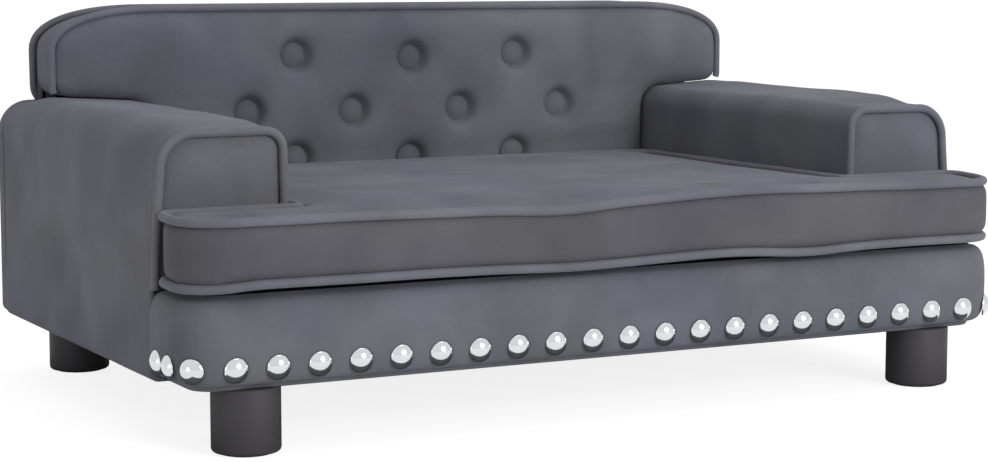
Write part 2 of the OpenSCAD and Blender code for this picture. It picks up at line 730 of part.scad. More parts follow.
arm_press_share = 0.6;
pad_flat_share = 0.08;
function tuft(r) = (1 + cos(180 * min(max((r - tuft_flat) / tuft_reach, 0), 1))) / 2;
function pad_y(x, z, half) =
    let (side = (half - abs(x)) / pad_draw + (z < ear_z ? arm_press_share : 0),
        full = smooth(min(side, (pad_top(x) - z) / pad_draw)) * (1 - pad_flat_share
            * (pow(x / back_x, 2) + pow((z - mid_z) / (back_top - mid_z), 2))),
        swell = back_crown - seat_squeeze * smooth((squeeze_z + pad_draw - z) / pad_draw),
        face = back_seam_y - swell * full)
    face + (button_y + pocket_in - face)
        * max([for (b = button_places) tuft(norm([x - b.x, z - b.y]))]);
module backrest_pad() {
    m = len(pad_rows);
    n = len(pad_columns(back_x)) - 1;
    front = [for (row = pad_rows, x = pad_columns(row[1])) [x, pad_y(x, row[0], row[1]), row[0]]];
    rim = concat([for (j = [0:n]) j], [for (i = [1:m - 1]) i * (n + 1) + n],
        [for (j = [n - 1:-1:0]) (m - 1) * (n + 1) + j], [for (i = [m - 2:-1:1]) i * (n + 1)]);
    total = len(front);
    rear = [for (k = rim) [front[k].x, board_y - gap, front[k].z]];
    faces = concat(
        [for (i = [0:m - 2], j = [0:n - 1])
            let (a = i * (n + 1) + j, b = a + 1, d = a + n + 1, c = d + 1)
            each abs(front[a].y - front[c].y) < abs(front[b].y - front[d].y)
                ? [[a, d, c], [a, c, b]] : [[a, d, b], [b, d, c]]],
        [for (k = [0:len(rim) - 1])
            let (next = (k + 1) % len(rim))
            each [[rim[k], rim[next], total + next], [rim[k], total + next, total + k]]],
        [for (k = [0:len(rim) - 1]) [total + k, total + (k + 1) % len(rim), total + len(rim)]]);
    color(velvet) polyhedron(faces = faces,
        points = concat(front, rear, [[0, board_y - gap, ear_z + ear_r]]));
}

// Seat cushion: a T outline whose wings lie in front of the arms
cushion_side_in = 2;
cushion_front_in = 0.5;
cushion_rear_r = 14;
cushion_wing_r = 12;
cushion_notch_r = 10;
cushion_seam_in = pipe_out + pipe_r;
cushion_x = overall_w / 2 - cushion_side_in - cushion_seam_in;
cushion_front_y = front_y + cushion_front_in + cushion_seam_in;
cushion_wing_y = arm_y - pipe_r - gap - cushion_seam_in;
cushion_mid_x = arm_in_x - gap - cushion_seam_in;
cushion_rear_y = back_seam_y - back_crown + seat_squeeze - gap * 4 - cushion_seam_in;
cushion_low_z = seat_h + gap * 2 + cushion_belly;
cushion_high_z = cushion_low_z + cushion_seam_h;
crown_reach = 20;
min_r = 2;
function cushion_outline(inset, steps = 4, fills = [11, 1, 2, 3, 5, 3, 2, 1]) =
    let (x = cushion_x - inset, mid = cushion_mid_x - inset, wing = cushion_wing_y - inset,
        rear = cushion_rear_y - max(inset, -pipe_out, 0) + (inset == -pipe_out ? pipe_out : 0),
        front = cushion_front_y + inset, r = max(cushion_corner_r - inset, min_r),
        wr = max(cushion_wing_r - inset, min_r), nr = cushion_notch_r + inset,
        rr = max(cushion_rear_r - inset, min_r))
    closed_outline([[-x, front, r], [x, front, r], [x, wing, wr], [mid, wing, nr],
        [mid, rear, rr], [-mid, rear, rr], [-mid, wing, nr], [-x, wing, wr]], steps, fills);
// The front edge rises and dips a little, most at the seam
wave_rise = 4;
wave_dip = 3.5;
wave_rise_share = 0.3;
wave_dip_share = -0.16;
wave_rise_width_share = 0.2;
wave_dip_width_share = 0.13;
function hump(x, middle, width) = exp(-pow((x - middle * overall_w / 2) / (width * overall_w / 2), 2));
function wave(p) = min(max((cushion_wing_y - p.y) / (cushion_wing_y - cushion_front_y), 0), 1)
    * (wave_rise * hump(p.x, wave_rise_share, wave_rise_width_share)
    - wave_dip * hump(p.x, wave_dip_share, wave_dip_width_share));
low_wave_share = 0.5;
function cushion_ring(inset, z, amount) =
    [for (p = cushion_outline(inset)) [p.x, p.y, z + amount * wave(p)]];
crown_shares = [0, 0.12, 0.4, 0.7, 1];
gusset_shares = [0.15, 0.5, 0.85];
foam_in = 8;
foam_over_seam = 2;
module cushion_block(out) {
    translate([0, 0, cushion_low_z - foam_over_seam - out])
        linear_extrude(height = cushion_seam_h + 2 * (foam_over_seam + out))
            polygon(cushion_outline(foam_in - out, 4, [0, 0, 0, 0, 0, 0, 0, 0]));
}
module cushion_foam() { color(foam) cushion_block(0); }
module cushion_cover() {
    color(velvet) difference() {
        skin(concat(
            [for (t = backwards(crown_shares)) cushion_ring(crown_reach * t,
                cushion_low_z - cushion_belly * sqrt(1 - pow(1 - t, 2)), low_wave_share * (1 - t))],
            [for (t = gusset_shares) cushion_ring(-gusset_swell * sin(180 * t),
                cushion_low_z + cushion_seam_h * t, low_wave_share + (1 - low_wave_share) * t)],
            [for (t = crown_shares) cushion_ring(crown_reach * t,
                cushion_high_z + cushion_crown * sqrt(1 - pow(1 - t, 2)), 1 - t)]),
            hub = [0, (cushion_front_y + cushion_wing_y) / 2]);
        cushion_block(gap);
    }
}
module cushion_top_piping() {
    color(velvet_dark) tube(cushion_ring(-pipe_out, cushion_high_z, 1), [0, 0, 1],
        pipe_r, tube_sides, true);
}
module cushion_bottom_piping() {
    color(velvet_dark) tube(cushion_ring(-pipe_out, cushion_low_z, low_wave_share),
        [0, 0, 1], pipe_r, tube_sides, true);
}

// Zip in the cushion's rear gusset, closed with a slider that has no pull tab
zip_tape_t = 0.8;
zip_teeth_t = 1.4;
zip_teeth_w = 3;
zip_slider_l = 9;
zip_slider_w = 8;
zip_slider_t = 3;
zip_z = cushion_low_z + cushion_seam_h / 2;
zip_y = cushion_rear_y + gap;
zip_teeth_y = zip_y + zip_tape_t + zip_teeth_t;
module zip_tape() {
    color("#2c2c2e") {
        board([-zip_l / 2, zip_y, zip_z - zip_w / 2], [zip_l / 2, zip_y + zip_tape_t, zip_z + zip_w / 2]);
        board([-zip_l / 2, zip_y + zip_tape_t, zip_z - zip_teeth_w / 2],
            [zip_l / 2, zip_teeth_y, zip_z + zip_teeth_w / 2]);
    }
}
module zip_slider() {
    color(steel) difference() {
        board([-zip_l / 2, zip_y + zip_tape_t + gap, zip_z - zip_slider_w / 2],
            [-zip_l / 2 + zip_slider_l, zip_y + zip_tape_t + gap + zip_slider_t,
                zip_z + zip_slider_w / 2]);
        board([-zip_l / 2 - over, zip_y, zip_z - zip_teeth_w / 2 - gap],
            [-zip_l / 2 + zip_slider_l + over, zip_teeth_y + gap, zip_z + zip_teeth_w / 2 + gap]);
    }
}

base_panel();
front_rail();
rear_rail();
middle_batten();
front_corner_blocks();
side_panel_left();
side_panel_right();
seat_deck();
arm_inner_panel_left();
arm_inner_panel_right();
arm_top_board_left();
arm_top_board_right();
arm_front_board_left();
arm_front_board_right();
back_board();
base_screws();
deck_screws();
arm_screws();
back_screws();
leg_front_left();
leg_front_right();
leg_rear_left();
leg_rear_right();
leg_bolts();
leg_t_nuts();
leg_glides();
dust_cover();
deck_cover();
arm_foam_left();
arm_foam_right();
arm_cover_left();
arm_cover_right();
arm_front_pad_left();
arm_front_pad_right();
arm_piping_left();
arm_piping_right();
apron_pad();
dome_nails();
backrest_pad();
backrest_front_piping();
backrest_rear_piping();
tuft_buttons();
button_ties();
back_cover();
cushion_foam();
cushion_cover();
cushion_top_piping();
cushion_bottom_piping();
zip_tape();
zip_slider();
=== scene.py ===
import bpy, bmesh, math
from mathutils import Vector, Matrix, noise


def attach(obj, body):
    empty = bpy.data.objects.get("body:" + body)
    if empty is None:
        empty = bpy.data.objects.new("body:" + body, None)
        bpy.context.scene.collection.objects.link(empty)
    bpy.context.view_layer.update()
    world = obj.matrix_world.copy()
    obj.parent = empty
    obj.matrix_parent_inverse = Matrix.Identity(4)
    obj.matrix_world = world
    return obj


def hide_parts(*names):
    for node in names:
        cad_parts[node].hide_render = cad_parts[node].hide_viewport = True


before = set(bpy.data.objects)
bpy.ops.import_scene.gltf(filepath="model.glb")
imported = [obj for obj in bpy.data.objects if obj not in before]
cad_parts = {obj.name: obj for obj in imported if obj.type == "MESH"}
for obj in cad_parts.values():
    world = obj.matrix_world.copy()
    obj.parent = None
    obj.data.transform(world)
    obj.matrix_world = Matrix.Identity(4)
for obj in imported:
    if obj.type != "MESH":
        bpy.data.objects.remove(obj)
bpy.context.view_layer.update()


# ---------------------------------------------------------------- Studio
# A pale floor under a white surround, lit softly from above, from the front right and a
# little from the left. A dark card lies under the sofa, which only shiny surfaces see: it is
# a painted shadow, standing in for the shade under the sofa, which the bright nails mirror
# as their dark lower edge. The camera stands at the photograph's place, left of the middle.
MM = 0.001


def hex_colour(text):
    """An sRGB hex value as linear numbers."""
    def linear(v):
        return v / 12.92 if v <= 0.04045 else ((v + 0.055) / 1.055) ** 2.4
    return tuple(linear(int(text[i:i + 2], 16) / 255) for i in (1, 3, 5)) + (1.0,)


def add(tree, kind, inputs=(), **settings):
    """Adds a node with its settings, and its values or links by socket."""
    made = tree.nodes.new(kind)
    for key, value in settings.items():
        setattr(made, key, value)
    for socket, value in dict(inputs).items():
        if isinstance(value, bpy.types.NodeSocket):
            tree.links.new(value, made.inputs[socket])
        else:
            made.inputs[socket].default_value = value
    return made


def new_material(name):
    material = bpy.data.materials.new(name)
    material.use_nodes = True
    material.node_tree.nodes.clear()
    return material, material.node_tree


def seen_directly(tree):
    """1 for what the camera sees, mirrored too, and 0 for what only gives soft light."""
    rays = add(tree, "ShaderNodeLightPath")
    either = add(tree, "ShaderNodeMath", {0: rays.outputs["Is Camera Ray"],
                 1: rays.outputs["Is Glossy Ray"]}, operation="MAXIMUM")
    return add(tree, "ShaderNodeMath", {0: either.outputs[0],
               1: rays.outputs["Is Transmission Ray"]}, operation="MAXIMUM").outputs[0]


world = bpy.data.worlds.new("white_surround")
bpy.context.scene.world = world
world.use_nodes = True
sky = world.node_tree
sky.nodes.clear()
sky_light, sky_seen = 0.61, 1.0
level = add(sky, "ShaderNodeMapRange", {"Value": seen_directly(sky), "To Min": sky_light,
            "To Max": sky_seen})
back = add(sky, "ShaderNodeBackground", {"Color": (1, 1, 1, 1), "Strength": level.outputs[0]})
add(sky, "ShaderNodeOutputWorld", {"Surface": back.outputs[0]})


def placed(name, data):
    """A new object in the scene, for a mesh, a curve, a lamp or the camera."""
    made = bpy.data.objects.new(name, data)
    bpy.context.scene.collection.objects.link(made)
    return made


def plane(name, finish, width, depth, y=0.0, z=0.0):
    bm = bmesh.new()
    bmesh.ops.create_grid(bm, x_segments=1, y_segments=1, size=0.5)
    bmesh.ops.scale(bm, vec=(width, depth, 1), verts=bm.verts)
    bmesh.ops.translate(bm, vec=(0, y, z), verts=bm.verts)
    mesh = bpy.data.meshes.new(name)
    bm.to_mesh(mesh)
    bm.free()
    mesh.materials.append(finish)
    return placed(name, mesh)


pale, tree = new_material("pale_floor_paint")
floor_light, floor_seen = 1.32, 0.64
matt = add(tree, "ShaderNodeBsdfDiffuse", {"Color": hex_colour("#f2f2f2")})
glow = add(tree, "ShaderNodeEmission", {"Color": (1, 1, 1, 1), "Strength": floor_light})
share = add(tree, "ShaderNodeMath", {0: seen_directly(tree), 1: floor_seen},
            operation="MULTIPLY")
mixed = add(tree, "ShaderNodeMixShader", {0: share.outputs[0], 1: matt.outputs[0],
            2: glow.outputs[0]})
add(tree, "ShaderNodeOutputMaterial", {"Surface": mixed.outputs[0]})
floor = plane("floor", pale, 60, 60)

# Painted shadow: a grey card seen only in reflections, standing in for the shade under the
# sofa.
shadow_card_material, tree = new_material("painted_shadow_card")
matt = add(tree, "ShaderNodeBsdfDiffuse", {"Color": hex_colour("#68686c")})
add(tree, "ShaderNodeOutputMaterial", {"Surface": matt.outputs[0]})
card = plane("painted_shadow_for_metal", shadow_card_material, 0.80, 0.50, y=-0.016, z=0.0006)
card.visible_camera = card.visible_diffuse = card.visible_shadow = False


def softbox(name, place, aim, size, power, colour):
    lamp = bpy.data.lights.new(name, "AREA")
    lamp.shape = "DISK"
    lamp.size = size
    lamp.energy = power
    lamp.color = hex_colour(colour)[:3]
    holder = placed(name, lamp)
    holder.location = place
    holder.rotation_euler = (Vector(place) - Vector(aim)).to_track_quat("Z", "Y").to_euler()


softbox("overhead_softbox", (0.3, -0.2, 2.4), (0, 0, 0.1), 1.8, 12, "#fbfcff")
softbox("front_softbox", (0.75, -2.6, 1.0), (0, 0, 0.15), 1.3, 44, "#ffffff")
softbox("left_softbox", (-1.7, -0.5, 0.12), (0, 0, 0.1), 0.7, 2.4, "#ffffff")

camera_lens = bpy.data.cameras.new("camera")
camera_lens.lens = 84.61
camera_lens.sensor_width = 36
camera_lens.clip_start = 0.05
camera_lens.clip_end = 100
camera = placed("camera", camera_lens)
turn, rise = math.radians(-27.605), math.radians(6.51)
camera.location = (-0.88024, -1.68533, 0.33846)
behind = Vector((math.sin(turn) * math.cos(rise), -math.cos(turn) * math.cos(rise),
                 math.sin(rise)))
camera.rotation_euler = behind.to_track_quat("Z", "Y").to_euler()
bpy.context.scene.camera = camera
bpy.context.scene.view_settings.view_transform = "Standard"


# ---------------------------------------------------------------- Frame boards
# The hidden frame: birch plywood panels, softwood rails and zinc-plated screws. Its CAD
# nodes keep their shape and take a real finish.
def wood(name, pale_hex, dark_hex, ring_mm, along):
    """Sanded wood: soft growth rings that run along the board, matt to the eye."""
    material, tree = new_material(name)
    place = add(tree, "ShaderNodeTexCoord").outputs["Object"]
    stretch = add(tree, "ShaderNodeMapping", {"Vector": place, "Scale": along})
    rings = add(tree, "ShaderNodeTexWave", {"Vector": stretch.outputs[0],
                "Scale": 1 / (ring_mm * MM * 20), "Distortion": 6.0, "Detail": 3.0,
                "Detail Scale": 1.5}, bands_direction="Y")
    tint = add(tree, "ShaderNodeMix", {0: rings.outputs[0], 6: hex_colour(pale_hex),
               7: hex_colour(dark_hex)}, data_type="RGBA")
    grain = add(tree, "ShaderNodeBump", {"Height": rings.outputs[0], "Strength": 0.15,
                "Distance": 0.0003})
    shader = add(tree, "ShaderNodeBsdfPrincipled", {"Base Color": tint.outputs[2],
                 "Roughness": 0.62, "Normal": grain.outputs[0]})
    add(tree, "ShaderNodeOutputMaterial", {"Surface": shader.outputs[0]})
    return material


birch = wood("sanded_birch_plywood", "#d6bb90", "#b9965f", 14, (1, 6, 6))
pine = wood("planed_pine", "#dcc39a", "#c09a60", 9, (0.5, 6, 6))


def metal(name, hex_text, rough):
    """Plated or cast metal, whose gloss is a little uneven."""
    material, tree = new_material(name)
    place = add(tree, "ShaderNodeTexCoord").outputs["Object"]
    specks = add(tree, "ShaderNodeTexNoise", {"Vector": place, "Scale": 600.0, "Detail": 2.0})
    gloss = add(tree, "ShaderNodeMapRange", {"Value": specks.outputs[0],
                "To Min": rough * 0.8, "To Max": rough * 1.2})
    shader = add(tree, "ShaderNodeBsdfPrincipled", {"Base Color": hex_colour(hex_text),
                 "Metallic": 1.0, "Roughness": gloss.outputs[0]})
    add(tree, "ShaderNodeOutputMaterial", {"Surface": shader.outputs[0]})
    return material


zinc = metal("zinc_plated_steel", "#b4b7bb", 0.32)


def refinish(material, *names):
    for name in names:
        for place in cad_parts[name].material_slots:
            place.material = material


refinish(birch, "base_panel", "seat_deck", "back_board", "side_panel_left",
         "side_panel_right", "arm_inner_panel_left", "arm_inner_panel_right",
         "arm_top_board_left", "arm_top_board_right", "arm_front_board_left",
         "arm_front_board_right")
refinish(pine, "front_rail", "rear_rail", "middle_batten", "front_corner_blocks")
refinish(zinc, "base_screws", "deck_screws", "arm_screws", "back_screws", "leg_bolts",
         "leg_t_nuts")


# ---------------------------------------------------------------- Legs
# Round black legs of moulded polypropylene with a softened edge, each on a bolt, with a
# soft rubber glide under it.
def plastic(name, hex_text, rough, grit_mm, depth):
    """Matt moulding: a fine grit spreads its highlights."""
    material, tree = new_material(name)
    place = add(tree, "ShaderNodeTexCoord").outputs["Object"]
    grit = add(tree, "ShaderNodeTexNoise", {"Vector": place, "Scale": 1 / (grit_mm * MM),
               "Detail": 2.0})
    bump = add(tree, "ShaderNodeBump", {"Height": grit.outputs[0], "Strength": depth,
               "Distance": 0.0004})
    gloss = add(tree, "ShaderNodeMapRange", {"Value": grit.outputs[0], "To Min": rough - 0.06,
                "To Max": rough + 0.06})
    shader = add(tree, "ShaderNodeBsdfPrincipled", {"Base Color": hex_colour(hex_text),
                 "Roughness": gloss.outputs[0], "Specular IOR Level": 0.3,
                 "Normal": bump.outputs[0]})
    add(tree, "ShaderNodeOutputMaterial", {"Surface": shader.outputs[0]})
    return material


def piece(name, bm, finish, body="sofa", nodes=()):
    bmesh.ops.scale(bm, vec=(MM, MM, MM), verts=bm.verts)
    mesh = bpy.data.meshes.new(name)
    bm.to_mesh(mesh)
    bm.free()
    mesh.shade_smooth()
    mesh.materials.append(finish)
    made = placed(name, mesh)
    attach(made, body)
    if nodes:
        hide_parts(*nodes)
    return made


def lathe(bm, profile, place, axis=(0, 0, 1), steps=48):
    """Turns a profile of (radius, height) round an axis through a place."""
    kept = set(bm.verts)
    points = [bm.verts.new((r, 0, z)) for r, z in profile]
    edges = [bm.edges.new(pair) for pair in zip(points, points[1:])]
    bmesh.ops.spin(bm, geom=points + edges, cent=(0, 0, 0), axis=(0, 0, 1), angle=math.tau,
                   steps=steps, use_merge=True)
    tilt = Vector((0, 0, 1)).rotation_difference(Vector(axis)).to_matrix().to_4x4()
    bmesh.ops.transform(bm, matrix=Matrix.Translation(place) @ tilt,
                        verts=[v for v in bm.verts if v not in kept])


def tidy(bm, near=0.001):
    bmesh.ops.remove_doubles(bm, verts=bm.verts, dist=near)
    bmesh.ops.recalc_face_normals(bm, faces=bm.faces)


satin_black = plastic("moulded_polypropylene", "#3a383b", 0.6, 0.8, 0.12)
rubber = plastic("soft_rubber", "#1d1d1e", 0.8, 0.5, 0.3)
leg_r, leg_x, leg_front_y, leg_rear_y = 24.8, 292.5, -186.5, 195
leg_places = {"leg_front_left": (-leg_x, leg_front_y), "leg_front_right": (leg_x, leg_front_y),
              "leg_rear_left": (-leg_x, leg_rear_y), "leg_rear_right": (leg_x, leg_rear_y)}
for name, (x, y) in leg_places.items():
    bm = bmesh.new()
    lathe(bm, [(0, 1), (leg_r - 3.2, 1), (leg_r - 1.6, 1.35), (leg_r - 0.5, 2.3),
               (leg_r, 3.8), (leg_r, 24), (leg_r, 46.6), (leg_r - 0.4, 47.6),
               (leg_r - 1.2, 48), (0, 48)], (x, y, 0), steps=72)
    tidy(bm)
    piece(name.replace("leg_", "moulded_leg_"), bm, satin_black, nodes=[name])
refinish(rubber, "leg_glides")


# ---------------------------------------------------------------- Cloth under and on the frame
# Thin black spunbond polypropylene, pressed with small points. One sheet closes the frame
# from below, its edges folded in and stapled; a second covers the deck under the cushion,
# where its black is also a painted shadow for the gap under the cushion.
def spunbond(name, hex_text, point_mm):
    """Dull pressed fibres, with a regular pattern of bonded points."""
    material, tree = new_material(name)
    place = add(tree, "ShaderNodeTexCoord").outputs["Object"]
    points = add(tree, "ShaderNodeTexVoronoi", {"Vector": place,
                 "Scale": 1 / (point_mm * MM), "Randomness": 0.1})
    fibres = add(tree, "ShaderNodeTexNoise", {"Vector": place, "Scale": 1 / (1.2 * MM),
                 "Detail": 4.0, "Roughness": 0.7})
    pressed = add(tree, "ShaderNodeMapRange", {"Value": points.outputs["Distance"],
                  "From Min": 0.15, "From Max": 0.4})
    height = add(tree, "ShaderNodeMath", {0: fibres.outputs[0], 1: 0.4,
                 2: pressed.outputs[0]}, operation="MULTIPLY_ADD")
    bump = add(tree, "ShaderNodeBump", {"Height": height.outputs[0], "Strength": 0.4,
               "Distance": 0.0002})
    tint = add(tree, "ShaderNodeMix", {0: fibres.outputs[0], 6: hex_colour("#101011"),
               7: hex_colour(hex_text)}, data_type="RGBA")
    shader = add(tree, "ShaderNodeBsdfPrincipled", {"Base Color": tint.outputs[2],
                 "Roughness": 0.82, "Specular IOR Level": 0.2, "Normal": bump.outputs[0]})
    add(tree, "ShaderNodeOutputMaterial", {"Surface": shader.outputs[0]})
    return material


def bends(corners, steps=6, closed=False):
    """Points along a line with rounded corners, each given as (a, b, radius)."""
    out = []
    n = len(corners)
    for i, (a, b, r) in enumerate(corners):
        here = Vector((a, b))
        if r <= 0 or (not closed and i in (0, n - 1)):
            out.append(here)
            continue
        back = (Vector(corners[i - 1][:2]) - here).normalized()
        ahead = (Vector(corners[(i + 1) % n][:2]) - here).normalized()
        half = back.angle(ahead) / 2
        centre = here + (back + ahead).normalized() * (r / math.sin(half))
        start = here + back * (r / math.tan(half)) - centre
        sweep = math.pi - 2 * half
        if back.cross(ahead) > 0:
            sweep = -sweep
        for k in range(steps + 1):
            c, s = math.cos(sweep * k / steps), math.sin(sweep * k / steps)
            out.append(centre + Vector((start.x * c - start.y * s, start.x * s + start.y * c)))
    return out


def filled(points, step, closed=False):
    """The same line with points no further apart than a step."""
    out = []
    for a, b in zip(points, points[1:] + points[:1]):
        count = max(1, math.ceil((b - a).length / step))
        out += [a.lerp(b, k / count) for k in range(count)]
    if not closed:
        out = out[:len(out) - max(1, math.ceil((points[0] - points[-1]).length / step))]
        out.append(points[-1])
    return out


def wire(bm, places, closed=False):
    points = [bm.verts.new(p) for p in places]
    ends = zip(points, points[1:] + points[:1] if closed else points[1:])
    return points, [bm.edges.new(pair) for pair in ends]


def ripple(place, size, seed=0.0):
    return noise.noise(Vector(place) / size + Vector((seed, seed * 2.3, seed * 5.1)))


def gridded(bm, step, reach):
    """Cuts every face along an even grid that misses the corners of the outline."""
    aside = 0.37
    for across in (Vector((1, 0, 0)), Vector((0, 1, 0))):
        for k in range(math.ceil(-reach / step), math.floor(reach / step) + 1):
            bmesh.ops.bisect_plane(bm, geom=bm.verts[:] + bm.edges[:] + bm.faces[:],
                                   dist=0.01, plane_co=across * (k * step + aside),
                                   plane_no=across)


def rim_edges(bm):
    return [e for e in bm.edges if len(e.link_faces) == 1]


def drawn_out(bm, geom, step):
    """Extrudes a face or a row of edges by a step, and returns the new points."""
    if isinstance(geom[0], bmesh.types.BMFace):
        made = bmesh.ops.extrude_face_region(bm, geom=geom)["geom"]
    else:
        made = bmesh.ops.extrude_edge_only(bm, edges=geom)["geom"]
    points = [g for g in made if isinstance(g, bmesh.types.BMVert)]
    bmesh.ops.translate(bm, vec=step, verts=points)
    return points


def clamp(value, low=0.0, high=1.0):
    return min(max(value, low), high)


black_cloth = spunbond("black_spunbond_cloth", "#29292b", 2.2)
cloth_x, cloth_front, cloth_rear, cloth_corner, hem = 334, -204.4, 210.2, 17, 12
cloth_outline = bends([(-cloth_x, cloth_front, cloth_corner),
                       (cloth_x, cloth_front, cloth_corner), (cloth_x, cloth_rear, 0),
                       (-cloth_x, cloth_rear, 0)], 6, closed=True)
bm = bmesh.new()
line = filled(cloth_outline, 15, closed=True)
bm.faces.new(wire(bm, [(p.x, p.y, 48.15) for p in line], closed=True)[0])
gridded(bm, 15, 340)
for v in bm.verts:
    inner = min(cloth_x - abs(v.co.x), v.co.y - cloth_front, cloth_rear - v.co.y) / 60
    leg = min(math.hypot(v.co.x - x, v.co.y - y) for x, y in leg_places.values())
    slack = clamp(inner) * clamp((leg - 30) / 40)
    v.co.z -= slack * (1.7 + 1.2 * ripple(v.co, 70, 6))
drawn_out(bm, rim_edges(bm), (0, 0, 0.42))
for v in drawn_out(bm, rim_edges(bm), (0, 0, 0)):
    core_x = cloth_x - cloth_corner
    core = Vector((clamp(v.co.x, -core_x, core_x),
                   clamp(v.co.y, cloth_front + cloth_corner, cloth_rear - cloth_corner),
                   v.co.z))
    v.co = core + (v.co - core) * (1 - hem / cloth_corner)
bmesh.ops.recalc_face_normals(bm, faces=bm.faces)
bmesh.ops.solidify(bm, geom=bm.faces, thickness=0.25)
under_cloth = piece("under_frame_cloth", bm, black_cloth, nodes=["dust_cover"])

bm = bmesh.new()
line = filled(cloth_outline, 52, closed=True)
for a, b in zip(line, line[1:] + line[:1]):
    if (b - a).length < 20:
        continue
    spot = a.lerp(b, 0.5)
    spot += (Vector((spot.x / 3, 20)) - spot).normalized() * 6
    if min(math.hypot(spot.x - x, spot.y - y) for x, y in leg_places.values()) < 34:
        continue
    made = bmesh.ops.create_cube(bm, size=1.0)["verts"]
    bmesh.ops.scale(bm, vec=(10, 1.1, 0.55), verts=made)
    along = (b - a).angle_signed(Vector((1, 0)))
    bmesh.ops.rotate(bm, cent=(0, 0, 0), matrix=Matrix.Rotation(along, 3, "Z"), verts=made)
    bmesh.ops.translate(bm, vec=(spot.x, spot.y, 47.75), verts=made)
bmesh.ops.bevel(bm, geom=bm.edges[:], offset=0.22, segments=2, affect="EDGES", profile=0.5,
                material=-1)
tidy(bm)
piece("cloth_staples", bm, zinc)

# The deck sheet: black cloth, whose black is also a painted shadow in the gap under the
# cushion.
bm = bmesh.new()
line = filled(bends([(-334.4, -204.8, 17), (334.4, -204.8, 17), (334.4, -149.8, 0),
                     (253.4, -149.8, 0), (253.4, 210.3, 0), (-253.4, 210.3, 0),
                     (-253.4, -149.8, 0), (-334.4, -149.8, 0)], 6, closed=True), 15,
              closed=True)
bm.faces.new(wire(bm, [(p.x, p.y, 114.95) for p in line], closed=True)[0])
gridded(bm, 16, 340)
for v in bm.verts:
    v.co.z -= 0.5 + 0.5 * ripple(v.co, 60, 5)
drawn_out(bm, rim_edges(bm), (0, 0, -1.7))
bmesh.ops.recalc_face_normals(bm, faces=bm.faces)
bmesh.ops.solidify(bm, geom=bm.faces, thickness=0.35)
deck_cloth_dark_as_shade = piece("deck_cloth_dark_as_shade", bm, black_cloth, nodes=["deck_cover"])


# ---------------------------------------------------------------- Arm foam
# Thin open-cell polyurethane foam, bent over each arm frame and glued, under the velvet.
def open_cell(name, pale_hex, dark_hex, cell_mm):
    """Cells drawn a little coarser than real ones, so that they show."""
    material, tree = new_material(name)
    place = add(tree, "ShaderNodeTexCoord").outputs["Object"]
    cells = add(tree, "ShaderNodeTexVoronoi", {"Vector": place, "Scale": 1 / (cell_mm * MM)})
    walls = add(tree, "ShaderNodeMapRange", {"Value": cells.outputs["Distance"],
                "From Min": 0.1, "From Max": 0.65})
    tint = add(tree, "ShaderNodeMix", {0: walls.outputs[0], 6: hex_colour(dark_hex),
               7: hex_colour(pale_hex)}, data_type="RGBA")
    bump = add(tree, "ShaderNodeBump", {"Height": walls.outputs[0], "Strength": 0.6,
               "Distance": 0.0006})
    shader = add(tree, "ShaderNodeBsdfPrincipled", {"Base Color": tint.outputs[2],
                 "Roughness": 0.95, "Specular IOR Level": 0.15, "Normal": bump.outputs[0]})
    add(tree, "ShaderNodeOutputMaterial", {"Surface": shader.outputs[0]})
    return material


def skin(bm, rings, closed=False):
    """Bridges one ring of places to the next."""
    made = [wire(bm, ring, closed)[1] for ring in rings]
    for low, high in zip(made, made[1:]):
        bmesh.ops.bridge_loops(bm, edges=low + high)


def matched(lines, step):
    """Lines with the same corners, filled alike, as one tuple of places for each point."""
    out = []
    for pairs in zip(*(zip(line, line[1:]) for line in lines)):
        count = max(1, math.ceil(max((b - a).length for a, b in pairs) / step))
        out += [tuple(a.lerp(b, k / count) for a, b in pairs) for k in range(count)]
    return out + [tuple(line[-1] for line in lines)]


cream_foam = open_cell("open_cell_foam", "#e2dcc4", "#bdb495", 1.6)


def ramp(value, low, high):
    """Rises softly from 0 to 1 between low and high."""
    t = clamp((value - low) / (high - low))
    return t * t * (3 - 2 * t)


arm_middle_y = 30


def drawn_in(y):
    """How far the arm is drawn in towards its two ends, from 0 to 1."""
    if y > arm_middle_y:
        return ramp(y, 165, 206)
    return 0.84 * (1 - ramp(y, -136, -88)) + 0.16 * (1 - ramp(y, -150, -20))


def arm_foam(side, word):
    end = [(248, 112.7, 0), (248, 219.5, 12), (338, 219.5, 22), (342.5, 116, 0),
           (344, 49.6, 0)]
    full = [(244.6, 112.7, 0), (244.6, 222.6, 13), (345.4, 228.2, 27), (345.4, 116, 0),
            (345.4, 49.6, 0)]
    boards = [(253.6, 112.7, 0), (253.6, 208.4, 10), (335.4, 208.4, 25), (335.4, 49.6, 0)]
    outer = matched([bends(end, 8), bends(full, 8)], 12)
    inner = bends(boards, 8)[::-1]
    front_y, rear_y, stations = -143, 210.2, 18
    rings = []
    for k in range(stations + 1):
        y = front_y + (rear_y - front_y) * k / stations
        slack = max(drawn_in(y), 0.2)
        skin_line = [b.lerp(a, slack) for a, b in outer]
        rings.append([(side * p.x, y, p.y) for p in skin_line + inner])
    bm = bmesh.new()
    skin(bm, rings, closed=True)
    bmesh.ops.holes_fill(bm, edges=rim_edges(bm), sides=0)
    tidy(bm)
    made = piece("arm_foam_sheet_" + word, bm, cream_foam, nodes=["arm_foam_" + word])


arm_foam(-1, "left")
arm_foam(1, "right")


